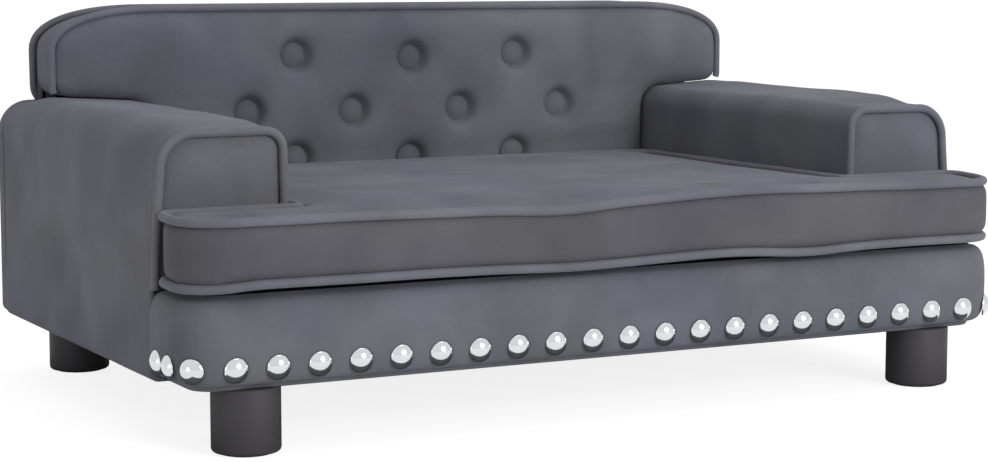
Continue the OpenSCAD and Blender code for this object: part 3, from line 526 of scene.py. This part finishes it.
# ---------------------------------------------------------------- Arm covers
# Grey short-pile velvet pulled over foam: up the inside, over the rounded top and down
# the outside, drawn in to the piped front edge and to the back.
def velvet(name, deep, lit, cool, brushed):
    """Short pile that lies in soft brushed patches, some of them cooler and lighter."""
    material, tree = new_material(name)
    place = add(tree, "ShaderNodeTexCoord").outputs["Object"]
    patch = add(tree, "ShaderNodeTexNoise", {"Vector": place, "Scale": 1 / (62 * MM),
                "Detail": 2.0, "Roughness": 0.45, "Distortion": 0.5})
    hue = add(tree, "ShaderNodeTexNoise", {"Vector": place, "Scale": 1 / (95 * MM),
              "Detail": 1.0})
    fine = add(tree, "ShaderNodeTexNoise", {"Vector": place, "Scale": 1 / (5 * MM),
               "Detail": 3.0, "Roughness": 0.6})
    pile = add(tree, "ShaderNodeTexNoise", {"Vector": place, "Scale": 1 / (1.1 * MM),
               "Detail": 2.0, "Roughness": 0.7})
    speck = add(tree, "ShaderNodeMath", {0: fine.outputs[0], 1: 0.22, 2: patch.outputs[0]},
                operation="MULTIPLY_ADD")
    nap = add(tree, "ShaderNodeMath", {0: pile.outputs[0], 1: 0.1, 2: speck.outputs[0]},
              operation="MULTIPLY_ADD")
    reach = add(tree, "ShaderNodeMapRange", {"Value": nap.outputs[0], "From Min": 0.46,
                "From Max": 0.88})
    tint = add(tree, "ShaderNodeMix", {0: reach.outputs[0], 6: hex_colour(deep),
               7: hex_colour(lit)}, data_type="RGBA")
    cooler = add(tree, "ShaderNodeMapRange", {"Value": hue.outputs[0], "From Min": 0.35,
                 "From Max": 0.65})
    shade = add(tree, "ShaderNodeMix", {0: cooler.outputs[0], 6: tint.outputs[2],
                7: hex_colour(cool)}, data_type="RGBA", blend_type="MULTIPLY")
    height = add(tree, "ShaderNodeMath", {0: pile.outputs[0], 1: 0.5, 2: fine.outputs[0]},
                 operation="MULTIPLY_ADD")
    bump = add(tree, "ShaderNodeBump", {"Height": height.outputs[0], "Strength": 0.2,
               "Distance": 0.0005})
    shader = add(tree, "ShaderNodeBsdfPrincipled", {"Base Color": shade.outputs[2],
                 "Roughness": 0.88, "Specular IOR Level": 0.12, "Sheen Weight": brushed,
                 "Sheen Roughness": 0.45, "Sheen Tint": hex_colour("#c6cad6"),
                 "Normal": bump.outputs[0]})
    add(tree, "ShaderNodeOutputMaterial", {"Surface": shader.outputs[0]})
    return material


grey_velvet = velvet("short_pile_velvet", "#5a5a5f", "#67686e", "#eef2fa", 0.12)
# A lighter copy of the same velvet for the piping: a painted highlight for the light along the
# cords.
piping_velvet_painted_highlight = velvet("velvet_over_cord_painted_highlight", "#5f5f65", "#6c6c73", "#f2f3fa", 0.2)
arm_front_y, arm_rear_y, cover_low = -149.2, 210.7, 112.4


def arm_end(inset, low):
    """The arm's front outline, which leans in a little towards its top."""
    return [(244.0 + inset, low, 0), (245.3 + inset, 225.6 - inset, max(17 - inset, 4)),
            (342.2 - inset, 225.4 - inset, max(28 - inset, 6)), (347.0 - inset, 160, 0),
            (349.6 - inset, 116, 0)]


def arm_sides(step):
    """Places up and over the arm: its front end, its full middle, and its rear end."""
    foot = [(350, 48, 7), (336, 48, 0)]
    middle = [(240, cover_low, 0), (240, 227, 18), (350, 233.6, 31), (350, 160, 0),
              (350, 116, 0)]
    rear = [(241, cover_low, 0), (241, 226, 18), (348.8, 227.3, 25), (348.8, 160, 0),
            (348.8, 116, 0)]
    return matched([bends(line + foot, 10)
                    for line in (arm_end(0.4, cover_low), middle, rear)], step)


def arm_cover(side, name, node):
    bm = bmesh.new()
    step, stations = 6.5, 62
    line = arm_sides(step)
    turned_in = matched([bends(arm_end(a, cover_low) + [(350 - a, 48 + a, 7),
                                                        (336, 48 + a, 0)], 10)
                         for a in (5.0, 2.6, 1.0)], step)
    rings = [[(side * p[k].x, y, p[k].y) for p in turned_in]
             for k, y in ((0, -150.6), (1, -151.4), (2, -150.9))]
    for k in range(stations + 1):
        y = arm_front_y + (arm_rear_y - arm_front_y) * k / stations
        slack = drawn_in(y)
        ring = []
        for front, middle, rear in line:
            p = middle.lerp(front if y < arm_middle_y else rear, slack)
            up = max(0, (p.y - 150) / 82)
            soft = ripple((p.x * side, y, p.y), 65, side)
            soft *= (1 - slack) * (1 - ramp(y, 120, 150))
            ring.append((side * (p.x + (0.5 * soft if p.x > 300 else -0.3 * soft)), y,
                         p.y + 1.1 * soft * up))
        rings.append(ring)
    skin(bm, rings)
    bmesh.ops.recalc_face_normals(bm, faces=bm.faces)
    if sum(f.normal.z for f in bm.faces if f.calc_center_median().z > 222) < 0:
        bmesh.ops.reverse_faces(bm, faces=bm.faces)
    bmesh.ops.solidify(bm, geom=bm.faces, thickness=1.8)
    made = piece(name, bm, grey_velvet, nodes=[node])


arm_cover(-1, "arm_velvet_left", "arm_cover_left")
arm_cover(1, "arm_velvet_right", "arm_cover_right")


# ---------------------------------------------------------------- Arm fronts
# Each arm ends in a small stuffed pad over its front board, with piping sewn round it.
def tube(name, path, radius, finish, body, nodes, closed=False):
    """A round cord along a path."""
    line = bpy.data.curves.new(name, "CURVE")
    line.dimensions = "3D"
    line.bevel_depth = radius * MM
    line.bevel_resolution = 4
    line.use_fill_caps = True
    spline = line.splines.new("POLY")
    spline.points.add(len(path) - 1)
    for point, place in zip(spline.points, path):
        point.co = (*(Vector(place) * MM), 1)
    spline.use_cyclic_u = closed
    source = placed(name + "_line", line)
    mesh = bpy.data.meshes.new_from_object(source)
    mesh.name = name
    bpy.data.objects.remove(source)
    mesh.shade_smooth()
    mesh.materials.clear()
    mesh.materials.append(finish)
    made = placed(name, mesh)
    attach(made, body)
    if nodes:
        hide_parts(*nodes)


pipe_r, arm_pipe_r, arm_pipe_y, pad_low = 3.0, 3.2, -152.5, 113.6


def arm_front(side, word):
    seam = arm_end(arm_pipe_r, pad_low)[:4] + [(346.2, pad_low, 0)]
    path = [(p.x * side, arm_pipe_y + 0.2 * ripple((p.x, 0, p.y), 30), p.y)
            for p in filled(bends(seam, 12), 5)]
    tube("arm_piping_velvet_" + word, path, arm_pipe_r, piping_velvet_painted_highlight, "sofa",
         ["arm_piping_" + word])
    bm = bmesh.new()
    lines = [bends(arm_end(a, pad_low)[:4] + [(349.2 - a, pad_low, 0)], 10)
             for a in (5.2, 6.6, 7.4)]
    under, edge, pad = zip(*matched([line + line[:1] for line in lines], 4)[:-1])
    middle = Vector((295.5, 168))
    shares = (0, 0.02, 0.05, 0.09, 0.14, 0.2, 0.28, 0.38, 0.5, 0.63, 0.76, 0.88, 0.97)
    loops = []
    for line, share, y in [(under, 0, -149.5), (under, 0, -150.3), (edge, 0, -150.6)] \
            + [(pad, share, -150.8) for share in shares]:
        raised = 1 - (1 - share) ** 4
        loops.append([(p.x * side, y - raised * (3.6 + 2.2 * ramp(p.y, 165, 200)), p.y)
                      for p in [q.lerp(middle, share) for q in line]])
    skin(bm, loops, closed=True)
    bmesh.ops.holes_fill(bm, edges=rim_edges(bm), sides=0)
    tidy(bm)
    made = piece("arm_front_velvet_" + word, bm, grey_velvet,
                 nodes=["arm_front_pad_" + word])


arm_front(-1, "left")
arm_front(1, "right")


# ---------------------------------------------------------------- Apron
# A padded velvet band wrapped round the front rail and its corners, full at its middle
# height, with its upper and lower edges folded in.
pad_full, frame_side, frame_front, corner_r = 15.0, 335.0, -205.3, 17.0
apron_low, apron_high, apron_end = 52.0, 112.8, -149.5


def apron_bulge(t):
    full = 3.2 if t < 0.5 else 3.0
    return pad_full * (0.15 + 0.85 * (1 - abs(2 * t - 1) ** full) ** (1 / full))


levels = [0, 0.01, 0.03, 0.06, 0.1] + [k / 16 for k in range(2, 15)] \
    + [0.9, 0.94, 0.97, 0.99, 1]
section = [(0.5, 48.2), (1.4, 49.2)] \
    + [(apron_bulge(t), apron_low + t * (apron_high - apron_low)) for t in levels] \
    + [(1.4, 114.2), (0.5, 114.8)]
bent = bends([(-frame_side, apron_end, 0), (-frame_side, frame_front, corner_r),
              (frame_side, frame_front, corner_r), (frame_side, apron_end, 0)], 14)
walk = filled(bent, 8)
rings = []
for before, here, after in zip(walk[:1] + walk, walk, walk[1:] + walk[-1:]):
    way = (after - before).normalized()
    ring = []
    for out, z in section:
        full = out + 0.5 * ripple((here.x, here.y, z), 60, 4) * (out > 3)
        ring.append((here.x + way.y * full, here.y - way.x * full, z))
    rings.append(ring)
bm = bmesh.new()
skin(bm, rings, closed=True)
bmesh.ops.holes_fill(bm, edges=rim_edges(bm), sides=0)
tidy(bm, 0.01)
apron = piece("apron_velvet", bm, grey_velvet, nodes=["apron_pad"])


# ---------------------------------------------------------------- Dome nails
# Bright nickel-plated upholstery nails in a row along the apron, driven through the
# velvet. Each head is a thin pressed dome.
def dome(radius, rise, steps):
    """Profile of a shallow dome, as (radius, height), from its top out to its rim."""
    ball = (radius ** 2 + rise ** 2) / (2 * rise)
    return [(ball * math.sin(a), rise - ball * (1 - math.cos(a)))
            for a in [math.asin(radius / ball) * k / steps for k in range(steps + 1)]]


nickel = metal("bright_nickel_plate", "#d2d3d6", 0.1)
nail_r, nail_rise, nail_z, nail_lean = 9.25, 4.5, 64.5, -0.07
front_pitch, side_pitch, front_nails, side_nails = 31.2, 24.0, 11, 2
nail_out = apron_bulge((nail_z - apron_low) / (apron_high - apron_low))
fold = (frame_side - corner_r, frame_front + corner_r)
nail_bend = corner_r + nail_out
bm = bmesh.new()
nail = dome(nail_r, nail_rise, 9)
nail += [(nail_r - 0.1, -0.35), (nail_r - 0.9, -0.4), (1.0, -0.3), (0.9, -8)]
for i in range(-front_nails - side_nails, front_nails + side_nails + 1):
    run = min(abs(i), front_nails) * front_pitch + max(abs(i) - front_nails, 0) * side_pitch
    past = max(run - fold[0], 0)
    angle = min(past / nail_bend, math.pi / 2)
    side = -1 if i < 0 else 1
    x = side * (min(run, fold[0]) + nail_bend * math.sin(angle))
    y = fold[1] - nail_bend * math.cos(angle) + max(past - nail_bend * math.pi / 2, 0)
    axis = (side * math.sin(angle), -math.cos(angle), nail_lean)
    lathe(bm, nail, Vector((x, y, nail_z)) + Vector(axis) * 0.6, axis, steps=32)
tidy(bm)
piece("nickel_nails", bm, nickel, nodes=["dome_nails"])


# ---------------------------------------------------------------- Backrest
# A stuffed T-shaped pad, boxed between front and rear piping, drawn in by buttons.
def evaluated(source):
    """A new mesh with an object's modifiers applied."""
    graph = bpy.context.evaluated_depsgraph_get()
    return bpy.data.meshes.new_from_object(source.evaluated_get(graph))


def settle(name, bm, voxel, pins, cap, pressure, frames=20):
    """Fills a closed shape like a stuffed cover: cloth under pressure, held at its seams."""
    tidy(bm)
    mesh = bpy.data.meshes.new(name + "_start")
    bmesh.ops.scale(bm, vec=(MM, MM, MM), verts=bm.verts)
    bm.to_mesh(mesh)
    bm.free()
    source = placed(name + "_start", mesh)
    fine = source.modifiers.new("even", "REMESH")
    fine.mode = "VOXEL"
    fine.voxel_size = voxel * MM
    even = evaluated(source)
    source.modifiers.clear()
    source.data = even
    held, moved = pins(even)
    for index, place in moved.items():
        even.vertices[index].co = place
    before = [v.co.copy() for v in even.vertices]
    group = source.vertex_groups.new(name="held")
    for index, weight in held.items():
        group.add([index], weight, "REPLACE")
    cloth = source.modifiers.new("fill", "CLOTH")
    cloth.settings.use_pressure = True
    cloth.settings.uniform_pressure_force = pressure
    cloth.settings.vertex_group_mass = "held"
    cloth.settings.effector_weights.gravity = 0
    cloth.settings.quality = 4
    cloth.settings.tension_stiffness = 25
    cloth.settings.compression_stiffness = 12
    cloth.settings.bending_stiffness = 0.6
    cloth.collision_settings.use_collision = False
    scene = bpy.context.scene
    for f in range(1, frames + 1):
        scene.frame_set(f)
    after = evaluated(source)
    scene.frame_set(1)
    source.modifiers.clear()
    for v, w, start in zip(even.vertices, after.vertices, before):
        step = w.co - start
        if step.length > cap * MM:
            step *= cap * MM / step.length
        v.co = start + step
    bpy.data.meshes.remove(after)
    out = bmesh.new()
    out.from_mesh(even)
    bmesh.ops.scale(out, vec=(1 / MM,) * 3, verts=out.verts)
    bpy.data.objects.remove(source)
    return out


def finer(bm):
    """One level of subdivision surface, applied."""
    mesh = bpy.data.meshes.new("finer")
    bm.to_mesh(mesh)
    source = placed("finer", mesh)
    smooth = source.modifiers.new("finer", "SUBSURF")
    smooth.levels = smooth.render_levels = 1
    dense = evaluated(source)
    bpy.data.objects.remove(source)
    bm.clear()
    bm.from_mesh(dense)
    return bm


def rim(here, line):
    """How far a place lies in from a closed outline, the nearest place on it, the way out."""
    near, foot, out, within = 1e9, None, None, False
    for a, b in zip(line, line[1:] + line[:1]):
        if (a.y > here.y) != (b.y > here.y) and \
                here.x < a.x + (b.x - a.x) * (here.y - a.y) / (b.y - a.y):
            within = not within
        along = b - a
        if along.length < 1e-6:
            continue
        t = clamp((here - a).dot(along) / along.length_squared)
        away = (a + along * t - here).length
        if away < near:
            near, foot = away, a + along * t
            out = Vector((along.y, -along.x)).normalized()
    return (near if within else -near), foot, out


def crown(depth, reach):
    """Rises like a quarter circle from 0 at the edge to 1 at the reach."""
    return math.sqrt(1 - (1 - clamp(depth / reach)) ** 2)


seam_y, board_y = 161.0, 210.7
back_x, back_top, corner_w, corner_h, corner_full = 318.2, 300.0, 93.7, 31.6, 2.3
ear_z, ear_w, ear_h = 231.5, 14.0, 7.5
pipe_out = 3.3
cap_r = 11.6
button_places = [(-108.6, 262.2), (1.6, 258.8), (104.5, 260.7), (-151.8, 214.2),
                 (-54.6, 213.2), (48.8, 213.2), (149, 214.2), (-107.8, 173.4), (1, 170.6),
                 (104.4, 171.6)]


def ear(angle, out):
    """A place on the rounded lower end of the pad's right ear."""
    return Vector((back_x - ear_w + (ear_w + out) * math.cos(angle),
                   ear_z + ear_h + (ear_h + out) * math.sin(angle)))


def top_corner(out):
    """The pad's upper right corner, from its side to the level of its top."""
    line = []
    bow = 2 / corner_full
    for k in range(0, 91, 5):
        c, s = max(math.cos(math.radians(k)), 0), math.sin(math.radians(k))
        away = Vector((c ** (2 - bow) / corner_w, s ** (2 - bow) / corner_h)).normalized()
        line.append(Vector((back_x - corner_w + corner_w * c ** bow,
                            back_top - corner_h + corner_h * s ** bow)) + away * out)
    return line


def back_side(out):
    """The right half of the pad's outline, from the platform up to the top."""
    foot = [Vector((239.4 + out, 115.4)), Vector((239.4 + out, 210))]
    notch = [Vector((258.2 - 18.8 * math.cos(a), 210 + 18.8 * math.sin(a)))
             for a in [math.radians(k) for k in range(10, 91, 10)]]
    return foot + notch + [ear(math.radians(k), out) for k in range(-90, 1, 15)] \
        + top_corner(out)


def whole(half):
    """The closed outline of which this is the right half."""
    return half + [Vector((-p.x, p.y)) for p in reversed(half)]


back_outline = whole(back_side(0))


def back_pins(mesh):
    """Held along its edges and under its buttons; boxing full, front crowned."""
    held, moved = {}, {}
    for v in mesh.vertices:
        x, y, z = v.co / MM
        depth, foot, out = rim(Vector((x, z)), back_outline)
        share = clamp((y - seam_y) / (board_y - seam_y))
        if v.normal.y > 0.6 or y > board_y - 2:
            held[v.index] = 1.0
        elif abs(v.normal.y) < 0.6 or depth < 2.6:
            piped = ramp(z, 234, 241)
            swell = 2.6 * ramp(z, 236, 248) * (1 - abs(2 * share - 1) ** 9)
            place = foot + out * (max(swell, 1.7 * piped * (share < 0.12)) - 0.15)
            y = max(y, seam_y - 0.4)
            moved[v.index] = Vector((place.x, y, place.y)) * MM
            held[v.index] = 1.0
        else:
            r = min(math.hypot(x - a, z - b) for a, b in button_places)
            full = 5.6 + 2.6 * ramp(z, 170, 200)
            y += -full * crown(depth, 30) + 4.6 * math.exp(-(r / 14) ** 2)
            moved[v.index] = Vector((x, y, z)) * MM
            held[v.index] = 1.0 if r < 11 or depth < 3 else 0.0
    return held, moved


bm = bmesh.new()
start_y = seam_y - 0.6
start = [a if a.y > 234 else b for a, b in zip(whole(back_side(1.3)), back_outline)]
face = bm.faces.new(wire(bm, [(p.x, start_y, p.y) for p in filled(start, 8, closed=True)],
                         closed=True)[0])
drawn_out(bm, [face], (0, board_y - start_y, 0))
bm = finer(settle("backrest_velvet", bm, 4.5, back_pins, 3.0, pressure=5.0))
for v in bm.verts:
    if v.normal.y < -0.2 and v.co.y < seam_y + 8:
        r = min(math.hypot(v.co.x - a, v.co.z - b) for a, b in button_places)
        v.co.y += 8 * (1 if r < cap_r else math.exp(-((r - cap_r) / 2.4) ** 1.2))
        v.co.y += 1.3 * math.exp(-(r / 24) ** 2) + 0.5 * ripple(v.co, 55, 3)
    seat_side = 154.2 - 3.6 * ramp(v.co.z, 176, 204)
    if v.co.y < seat_side:
        v.co.y = seat_side + (v.co.y - seat_side) * 0.12
backrest = piece("backrest_velvet", bm, grey_velvet, nodes=["backrest_pad"])


def piped_edge(y, start):
    """The way of a piping from one ear over the top to the other."""
    return [(p.x, y, p.y) for p in whole(start + top_corner(pipe_out))]


front_start = [ear(a, pipe_out) for a in (-0.34, -0.17, 0)]
rear_start = [Vector((back_x + x, z))
              for x, z in ((-0.4, 229.8), (1.5, 232.6), (2.6, 235.8), (3, 240))]
tube("backrest_front_piping_velvet", piped_edge(seam_y - 0.3, front_start), pipe_r,
     piping_velvet_painted_highlight, "sofa", ["backrest_front_piping"])
tube("backrest_rear_piping_velvet", piped_edge(215.4, rear_start), pipe_r, piping_velvet_painted_highlight,
     "sofa", ["backrest_rear_piping"])


# ---------------------------------------------------------------- Tufting buttons
# Velvet-covered buttons, pulled into the pad by twine that is tied behind the board.
bm = bmesh.new()
cap_rise, cap_skirt, cap_y = 3.4, 5.0, 168.8
button = [(r, cap_skirt + high) for r, high in dome(cap_r, cap_rise, 10)[:-1]]
button += [(cap_r + 0.3, cap_skirt - 0.6), (cap_r + 0.2, cap_skirt - 1.6),
           (cap_r - 0.8, cap_skirt - 2.6), (cap_r - 2, 0), (0, 0)]
for x, z in button_places:
    lathe(bm, button, (x, cap_y, z), (0, -1, 0), steps=32)
tidy(bm)
piece("covered_buttons", bm, grey_velvet, nodes=["tuft_buttons"])

twine = plastic("waxed_nylon_twine", "#8d8d92", 0.6, 0.5, 0.3)
tie_holes = [(-104, 260.5), (0, 260.5), (104, 260.5), (-156, 213.5), (-52, 213.5),
             (52, 213.5), (156, 213.5), (-104, 171), (0, 171), (104, 171)]
bm = bmesh.new()
for (x, z), (hole_x, hole_z) in zip(button_places, tie_holes):
    near, far = Vector((x, cap_y - 0.6, z)), Vector((hole_x, 212, hole_z))
    stations, twist, strand_r = 60, 34, 0.4
    for k in range(2):
        rings = []
        for step in range(stations + 1):
            share = step / stations
            through = Vector((0, 9.6 * max(share * 5 - 4, 0), 0))
            at = near.lerp(far, min(share * 1.25, 1)) + through
            twisted = share * twist + math.pi * k
            at += Vector((math.cos(twisted), 0, math.sin(twisted))) * 0.36
            rings.append([at + Vector((math.cos(a), 0, math.sin(a))) * strand_r
                          for a in [math.tau * n / 6 for n in range(6)]])
        skin(bm, rings, closed=True)
    lathe(bm, [(0, 0.1), (5, 0.1), (5.8, 0.35), (6, 0.7), (5.6, 1.05), (3.4, 1.0), (2.8, 0.8),
               (0, 0.8)], (hole_x, 221.4, hole_z), (0, 1, 0), steps=24)
bmesh.ops.holes_fill(bm, edges=rim_edges(bm), sides=0)
tidy(bm)
piece("twisted_ties", bm, twine, nodes=["button_ties"])


# ---------------------------------------------------------------- Back cover
# The velvet that wraps the back board and its edge, turned over to the board's front and
# stapled under the piping.
board_x, board_low, board_shoulder, cover_y = 349.4, 49.5, 227, 211.2


def board_side(inset):
    """The right half of the board's outline, moved inwards."""
    x, low, high = board_x - inset, board_low + inset, board_shoulder - inset
    return bends([(0, low, 0), (x, low, 7), (x, high, max(26 - inset, 3)),
                  (back_x - inset, high, 0)], 8)[1:] + top_corner(-inset)


edges = [whole(board_side(inset)) for inset in (0, 0.15, 6, 24)]
turned = list(zip(*matched([edge + edge[:1] for edge in edges], 10)[:-1]))
bm = bmesh.new()
top = [bm.faces.new(wire(bm, [(p.x, cover_y, p.y) for p in turned[0]], closed=True)[0])]
for inset, back_step in [(0, 0.2), (0, 11), (0.5, 1.2), (1.0, 0.7), (1.6, 0.4)]:
    grown = bmesh.ops.extrude_face_region(bm, geom=top)["geom"]
    bmesh.ops.delete(bm, geom=top, context="FACES_ONLY")
    top = [g for g in grown if isinstance(g, bmesh.types.BMFace)]
    bmesh.ops.translate(bm, vec=(0, back_step, 0),
                        verts=list({v for f in top for v in f.verts}))
    if inset:
        bmesh.ops.inset_region(bm, faces=top, thickness=inset, use_even_offset=True)
tidy(bm)
skin(bm, [[(p.x, y, p.y) for p in ring]
          for ring, y in zip(turned, (cover_y, 210.9, 210.85, 210.85))], closed=True)
tidy(bm)
piece("back_velvet", bm, grey_velvet, nodes=["back_cover"])


# ---------------------------------------------------------------- Seat cushion
# A loose boxed cushion cut as a T, whose wings lie in front of the arms. Foam in a
# velvet cover, with piping in the seams round the top and the bottom.
seam_low, seam_high = 121.3, 167.3
cushion_corners = [(-342.7, -218.2, 30), (342.7, -218.2, 30), (342.7, -162.1, 12),
                   (233.4, -162.1, 10), (233.4, 147.0, 14), (-233.4, 147.0, 14),
                   (-233.4, -162.1, 10), (-342.7, -162.1, 12)]


def ahead(y):
    """How far forward a place on the cushion lies, from 0 to 1 at the front edge."""
    return ramp(-y, 150, 216)


def wave(x, y, share):
    """The front edge rises and dips a little along its length, differently at the bottom
    seam, where share is 0, and at the top seam, where it is 1."""
    high = 4 * math.exp(-((x - 105) / 70) ** 2) - 3.5 * math.exp(-((x + 56) / 45) ** 2) \
        + 1.2 * math.exp(-((x - 215) / 55) ** 2)
    low = high / 2 + 2.6 * ramp(-x, 90, 250) - 1.6 * ramp(-x, 150, 230) \
        - 2.2 * ramp(-x, 290, 340) - 3 * math.exp(-((x - 155) / 50) ** 2) \
        + 0.8 * math.exp(-((x + 90) / 45) ** 2)
    high -= 1.4 + 1.4 * math.exp(-((x + 140) / 70) ** 2) + 0.7 * math.exp(-((x - 93) / 35) ** 2)
    return ahead(y) * (low + (high - low) * clamp(share))


def cushion_edge(out, steps):
    """The cushion's outline, moved outwards."""
    return bends([(a + (out if a > 0 else -out), b + (out if b > -200 else -out),
                   max(r + (out if k not in (3, 6) else -out), 1))
                  for k, (a, b, r) in enumerate(cushion_corners)], steps, closed=True)


bm = bmesh.new()
levels = [(-14, 120.6), (-11, 121), (-9, 122.2), (-8, 124.5), (-8, 158), (-9, 161.4),
          (-11, 163.4), (-14, 164.2)]
edges = [cushion_edge(out, 8) for out, z in levels]
rings = list(zip(*matched([line + line[:1] for line in edges], 18)[:-1]))
skin(bm, [[(p.x, p.y, z + min(wave(p.x, p.y, (z - seam_low) / 40), 0)
            - 2.4 * ahead(p.y) * (z > 140)) for p in ring]
          for ring, (out, z) in zip(rings, levels)], closed=True)
bmesh.ops.holes_fill(bm, edges=rim_edges(bm), sides=0)
tidy(bm)
block = piece("cushion_foam_block", bm, cream_foam, body="cushion",
              nodes=["cushion_foam"])

cushion_outline = filled(cushion_edge(0, 16), 60, closed=True)


def cushion_pins(mesh):
    """Held at its seams; the foam inside lifts the top and fills out the boxing."""
    held, moved = {}, {}
    for v in mesh.vertices:
        x, y, z = v.co / MM
        depth, foot, out = rim(Vector((x, y)), cushion_outline)
        share = (z - seam_low) / (seam_high - seam_low)
        if abs(v.normal.z) < 0.6:
            zipped = ramp(y, 100, 140) * (1 - ramp(abs(x), 168, 215))
            full = 3.5 - 3.3 * zipped + 3.2 * ramp(-y, 168, 190)
            place = foot + out * (full * (1 - abs(2 * share - 1) ** 7) - 0.2)
            x, y = place.x, place.y
            held[v.index] = 0.5 + 0.5 * zipped
        elif v.normal.z > 0:
            z += 3.0 * crown(depth, 50)
            held[v.index] = 1.0 if depth < 3.5 else 0.0
        else:
            z = max(z - 5.7 * crown(depth, 20), 115.6)
            held[v.index] = 1.0
        moved[v.index] = Vector((x, y, z)) * MM
    return held, moved


bm = bmesh.new()
line = filled(cushion_edge(0, 8), 8, closed=True)
face = bm.faces.new(wire(bm, [(p.x, p.y, seam_low) for p in line], closed=True)[0])
drawn_out(bm, [face], (0, 0, seam_high - seam_low))
bm = finer(settle("cushion_velvet", bm, 5.0, cushion_pins, 1.6, pressure=3.0))
for v in bm.verts:
    x, y, z = v.co
    z += wave(x, y, (z - seam_low) / (seam_high - seam_low))
    if v.normal.z > 0.9:
        z += 0.7 * ripple(v.co, 80, 7)
    v.co.z = max(z, 115.5)
# Painted shade: a darker, less blue copy of the velvet, given to the upright faces between the
# seams.
side_velvet_painted_shade = velvet("velvet_sides_painted_shade", "#504f53", "#5a595d", "#f4f4fa", 0.06)
for f in bm.faces:
    f.material_index = int(abs(f.normal.z) < 0.85
                           and seam_low - 1.5 < f.calc_center_median().z < seam_high + 5)
cushion = piece("cushion_velvet", bm, grey_velvet, body="cushion",
                nodes=["cushion_cover"])
cushion.data.materials.append(side_velvet_painted_shade)


def cushion_piping(name, z, share, node):
    path = [(p.x, p.y, z + wave(p.x, p.y, share) + 0.4 * ripple((p.x, p.y, z), 60))
            for p in filled(cushion_edge(pipe_out, 12), 8, closed=True)]
    tube(name, path, 3.4, piping_velvet_painted_highlight, "cushion", [node], closed=True)


cushion_piping("cushion_top_piping_velvet", seam_high, 1.0, "cushion_top_piping")
cushion_piping("cushion_bottom_piping_velvet", seam_low, 0.0, "cushion_bottom_piping")


# ---------------------------------------------------------------- Zip
# A nylon coil zip in the middle of the cushion's rear boxing: two woven tapes, the coil,
# an end stop and a lacquered slider with its pull.
def woven_tape(name, hex_text, rib_mm):
    """Fine diagonal ribs with darker gaps between them."""
    material, tree = new_material(name)
    place = add(tree, "ShaderNodeTexCoord").outputs["Object"]
    ribs = add(tree, "ShaderNodeTexWave", {"Vector": place, "Scale": 1 / (rib_mm * MM * 20),
               "Distortion": 0.4}, bands_direction="DIAGONAL")
    bump = add(tree, "ShaderNodeBump", {"Height": ribs.outputs[0], "Strength": 0.5,
               "Distance": 0.0002})
    tint = add(tree, "ShaderNodeMix", {0: ribs.outputs[0], 6: hex_colour("#222224"),
               7: hex_colour(hex_text)}, data_type="RGBA")
    shader = add(tree, "ShaderNodeBsdfPrincipled", {"Base Color": tint.outputs[2],
                 "Roughness": 0.75, "Specular IOR Level": 0.3, "Normal": bump.outputs[0]})
    add(tree, "ShaderNodeOutputMaterial", {"Surface": shader.outputs[0]})
    return material


zip_half, zip_z, zip_y = 150.0, 144.3, 147.3
tape_cloth = woven_tape("woven_polyester_tape", "#39393c", 1.0)
bm = bmesh.new()
for side in (-1, 1):
    edges = wire(bm, [(-zip_half, zip_y + y, zip_z + side * z) for z, y in
                 [(12, 0.05), (11.2, 0.3), (4.5, 0.35), (3.4, 0.4), (2.6, 0.75), (1.1, 0.8),
                  (0.35, 0.6)]])[1]
    drawn_out(bm, edges, (2 * zip_half, 0, 0))
bmesh.ops.recalc_face_normals(bm, faces=bm.faces)
bmesh.ops.solidify(bm, geom=bm.faces, thickness=0.3)
piece("zip_tapes", bm, tape_cloth, body="cushion", nodes=["zip_tape"])

coil_pitch, round_steps = 1.8, 8
turns = int(2 * zip_half / coil_pitch)
coil = [(-zip_half + coil_pitch * k / round_steps,
         zip_y + 1.35 + 0.55 * math.sin(math.tau * k / round_steps),
         zip_z + 1.45 * math.cos(math.tau * k / round_steps))
        for k in range(turns * round_steps)]
nylon = plastic("nylon_coil", "#2a2a2d", 0.45, 0.6, 0.1)
tube("zip_coil", coil, 0.36, nylon, "cushion", [])

lacquer = metal("lacquered_zinc_casting", "#4a4a4e", 0.34)
bm = bmesh.new()
start = -zip_half
for y, thick in ((zip_y + 2.35, 0.75), (zip_y + 0.5, 0.5)):
    line = bends([(start + 0.2, zip_z - 3.6, 1.2), (start + 4.4, zip_z - 3.9, 2),
                  (start + 9, zip_z - 2.4, 1.0), (start + 9, zip_z + 2.4, 1.0),
                  (start + 4.4, zip_z + 3.9, 2), (start + 0.2, zip_z + 3.6, 1.2)], 4,
                 closed=True)
    face = bm.faces.new(wire(bm, [(p.x, y, p.y) for p in line], closed=True)[0])
    drawn_out(bm, [face], (0, thick, 0))
flat_edges = [e for e in bm.edges if abs(e.verts[0].co.y - e.verts[1].co.y) < 0.01]
bmesh.ops.bevel(bm, geom=flat_edges, offset=0.2, segments=2, affect="EDGES", profile=0.5,
                material=-1)
tidy(bm)
lathe(bm, [(0, 0), (0.9, 0), (0.9, 2.4), (0, 2.4)], (start + 1.6, zip_y + 0.7, zip_z),
      (0, 1, 0), steps=16)
line = bends([(start + 2.6, zip_z + 1.2, 1.6), (start + 2.6, zip_z - 15, 2.4),
              (start + 6.8, zip_z - 15, 2.4), (start + 6.8, zip_z + 1.2, 1.6)], 5, closed=True)
face = bm.faces.new(wire(bm, [(p.x, zip_y + 3.75, p.y) for p in line], closed=True)[0])
drawn_out(bm, [face], (0, 0.75, 0))
tidy(bm)
piece("zip_slider_and_pull", bm, lacquer, body="zip_slider", nodes=["zip_slider"])
bail = [(start + 4.7, zip_y + 3.2 + 1.1 * math.sin(a), zip_z + 2.1 * math.cos(a))
        for a in [math.pi * k / 12 for k in range(13)]]
tube("zip_slider_bail", bail, 0.45, lacquer, "zip_slider", [])
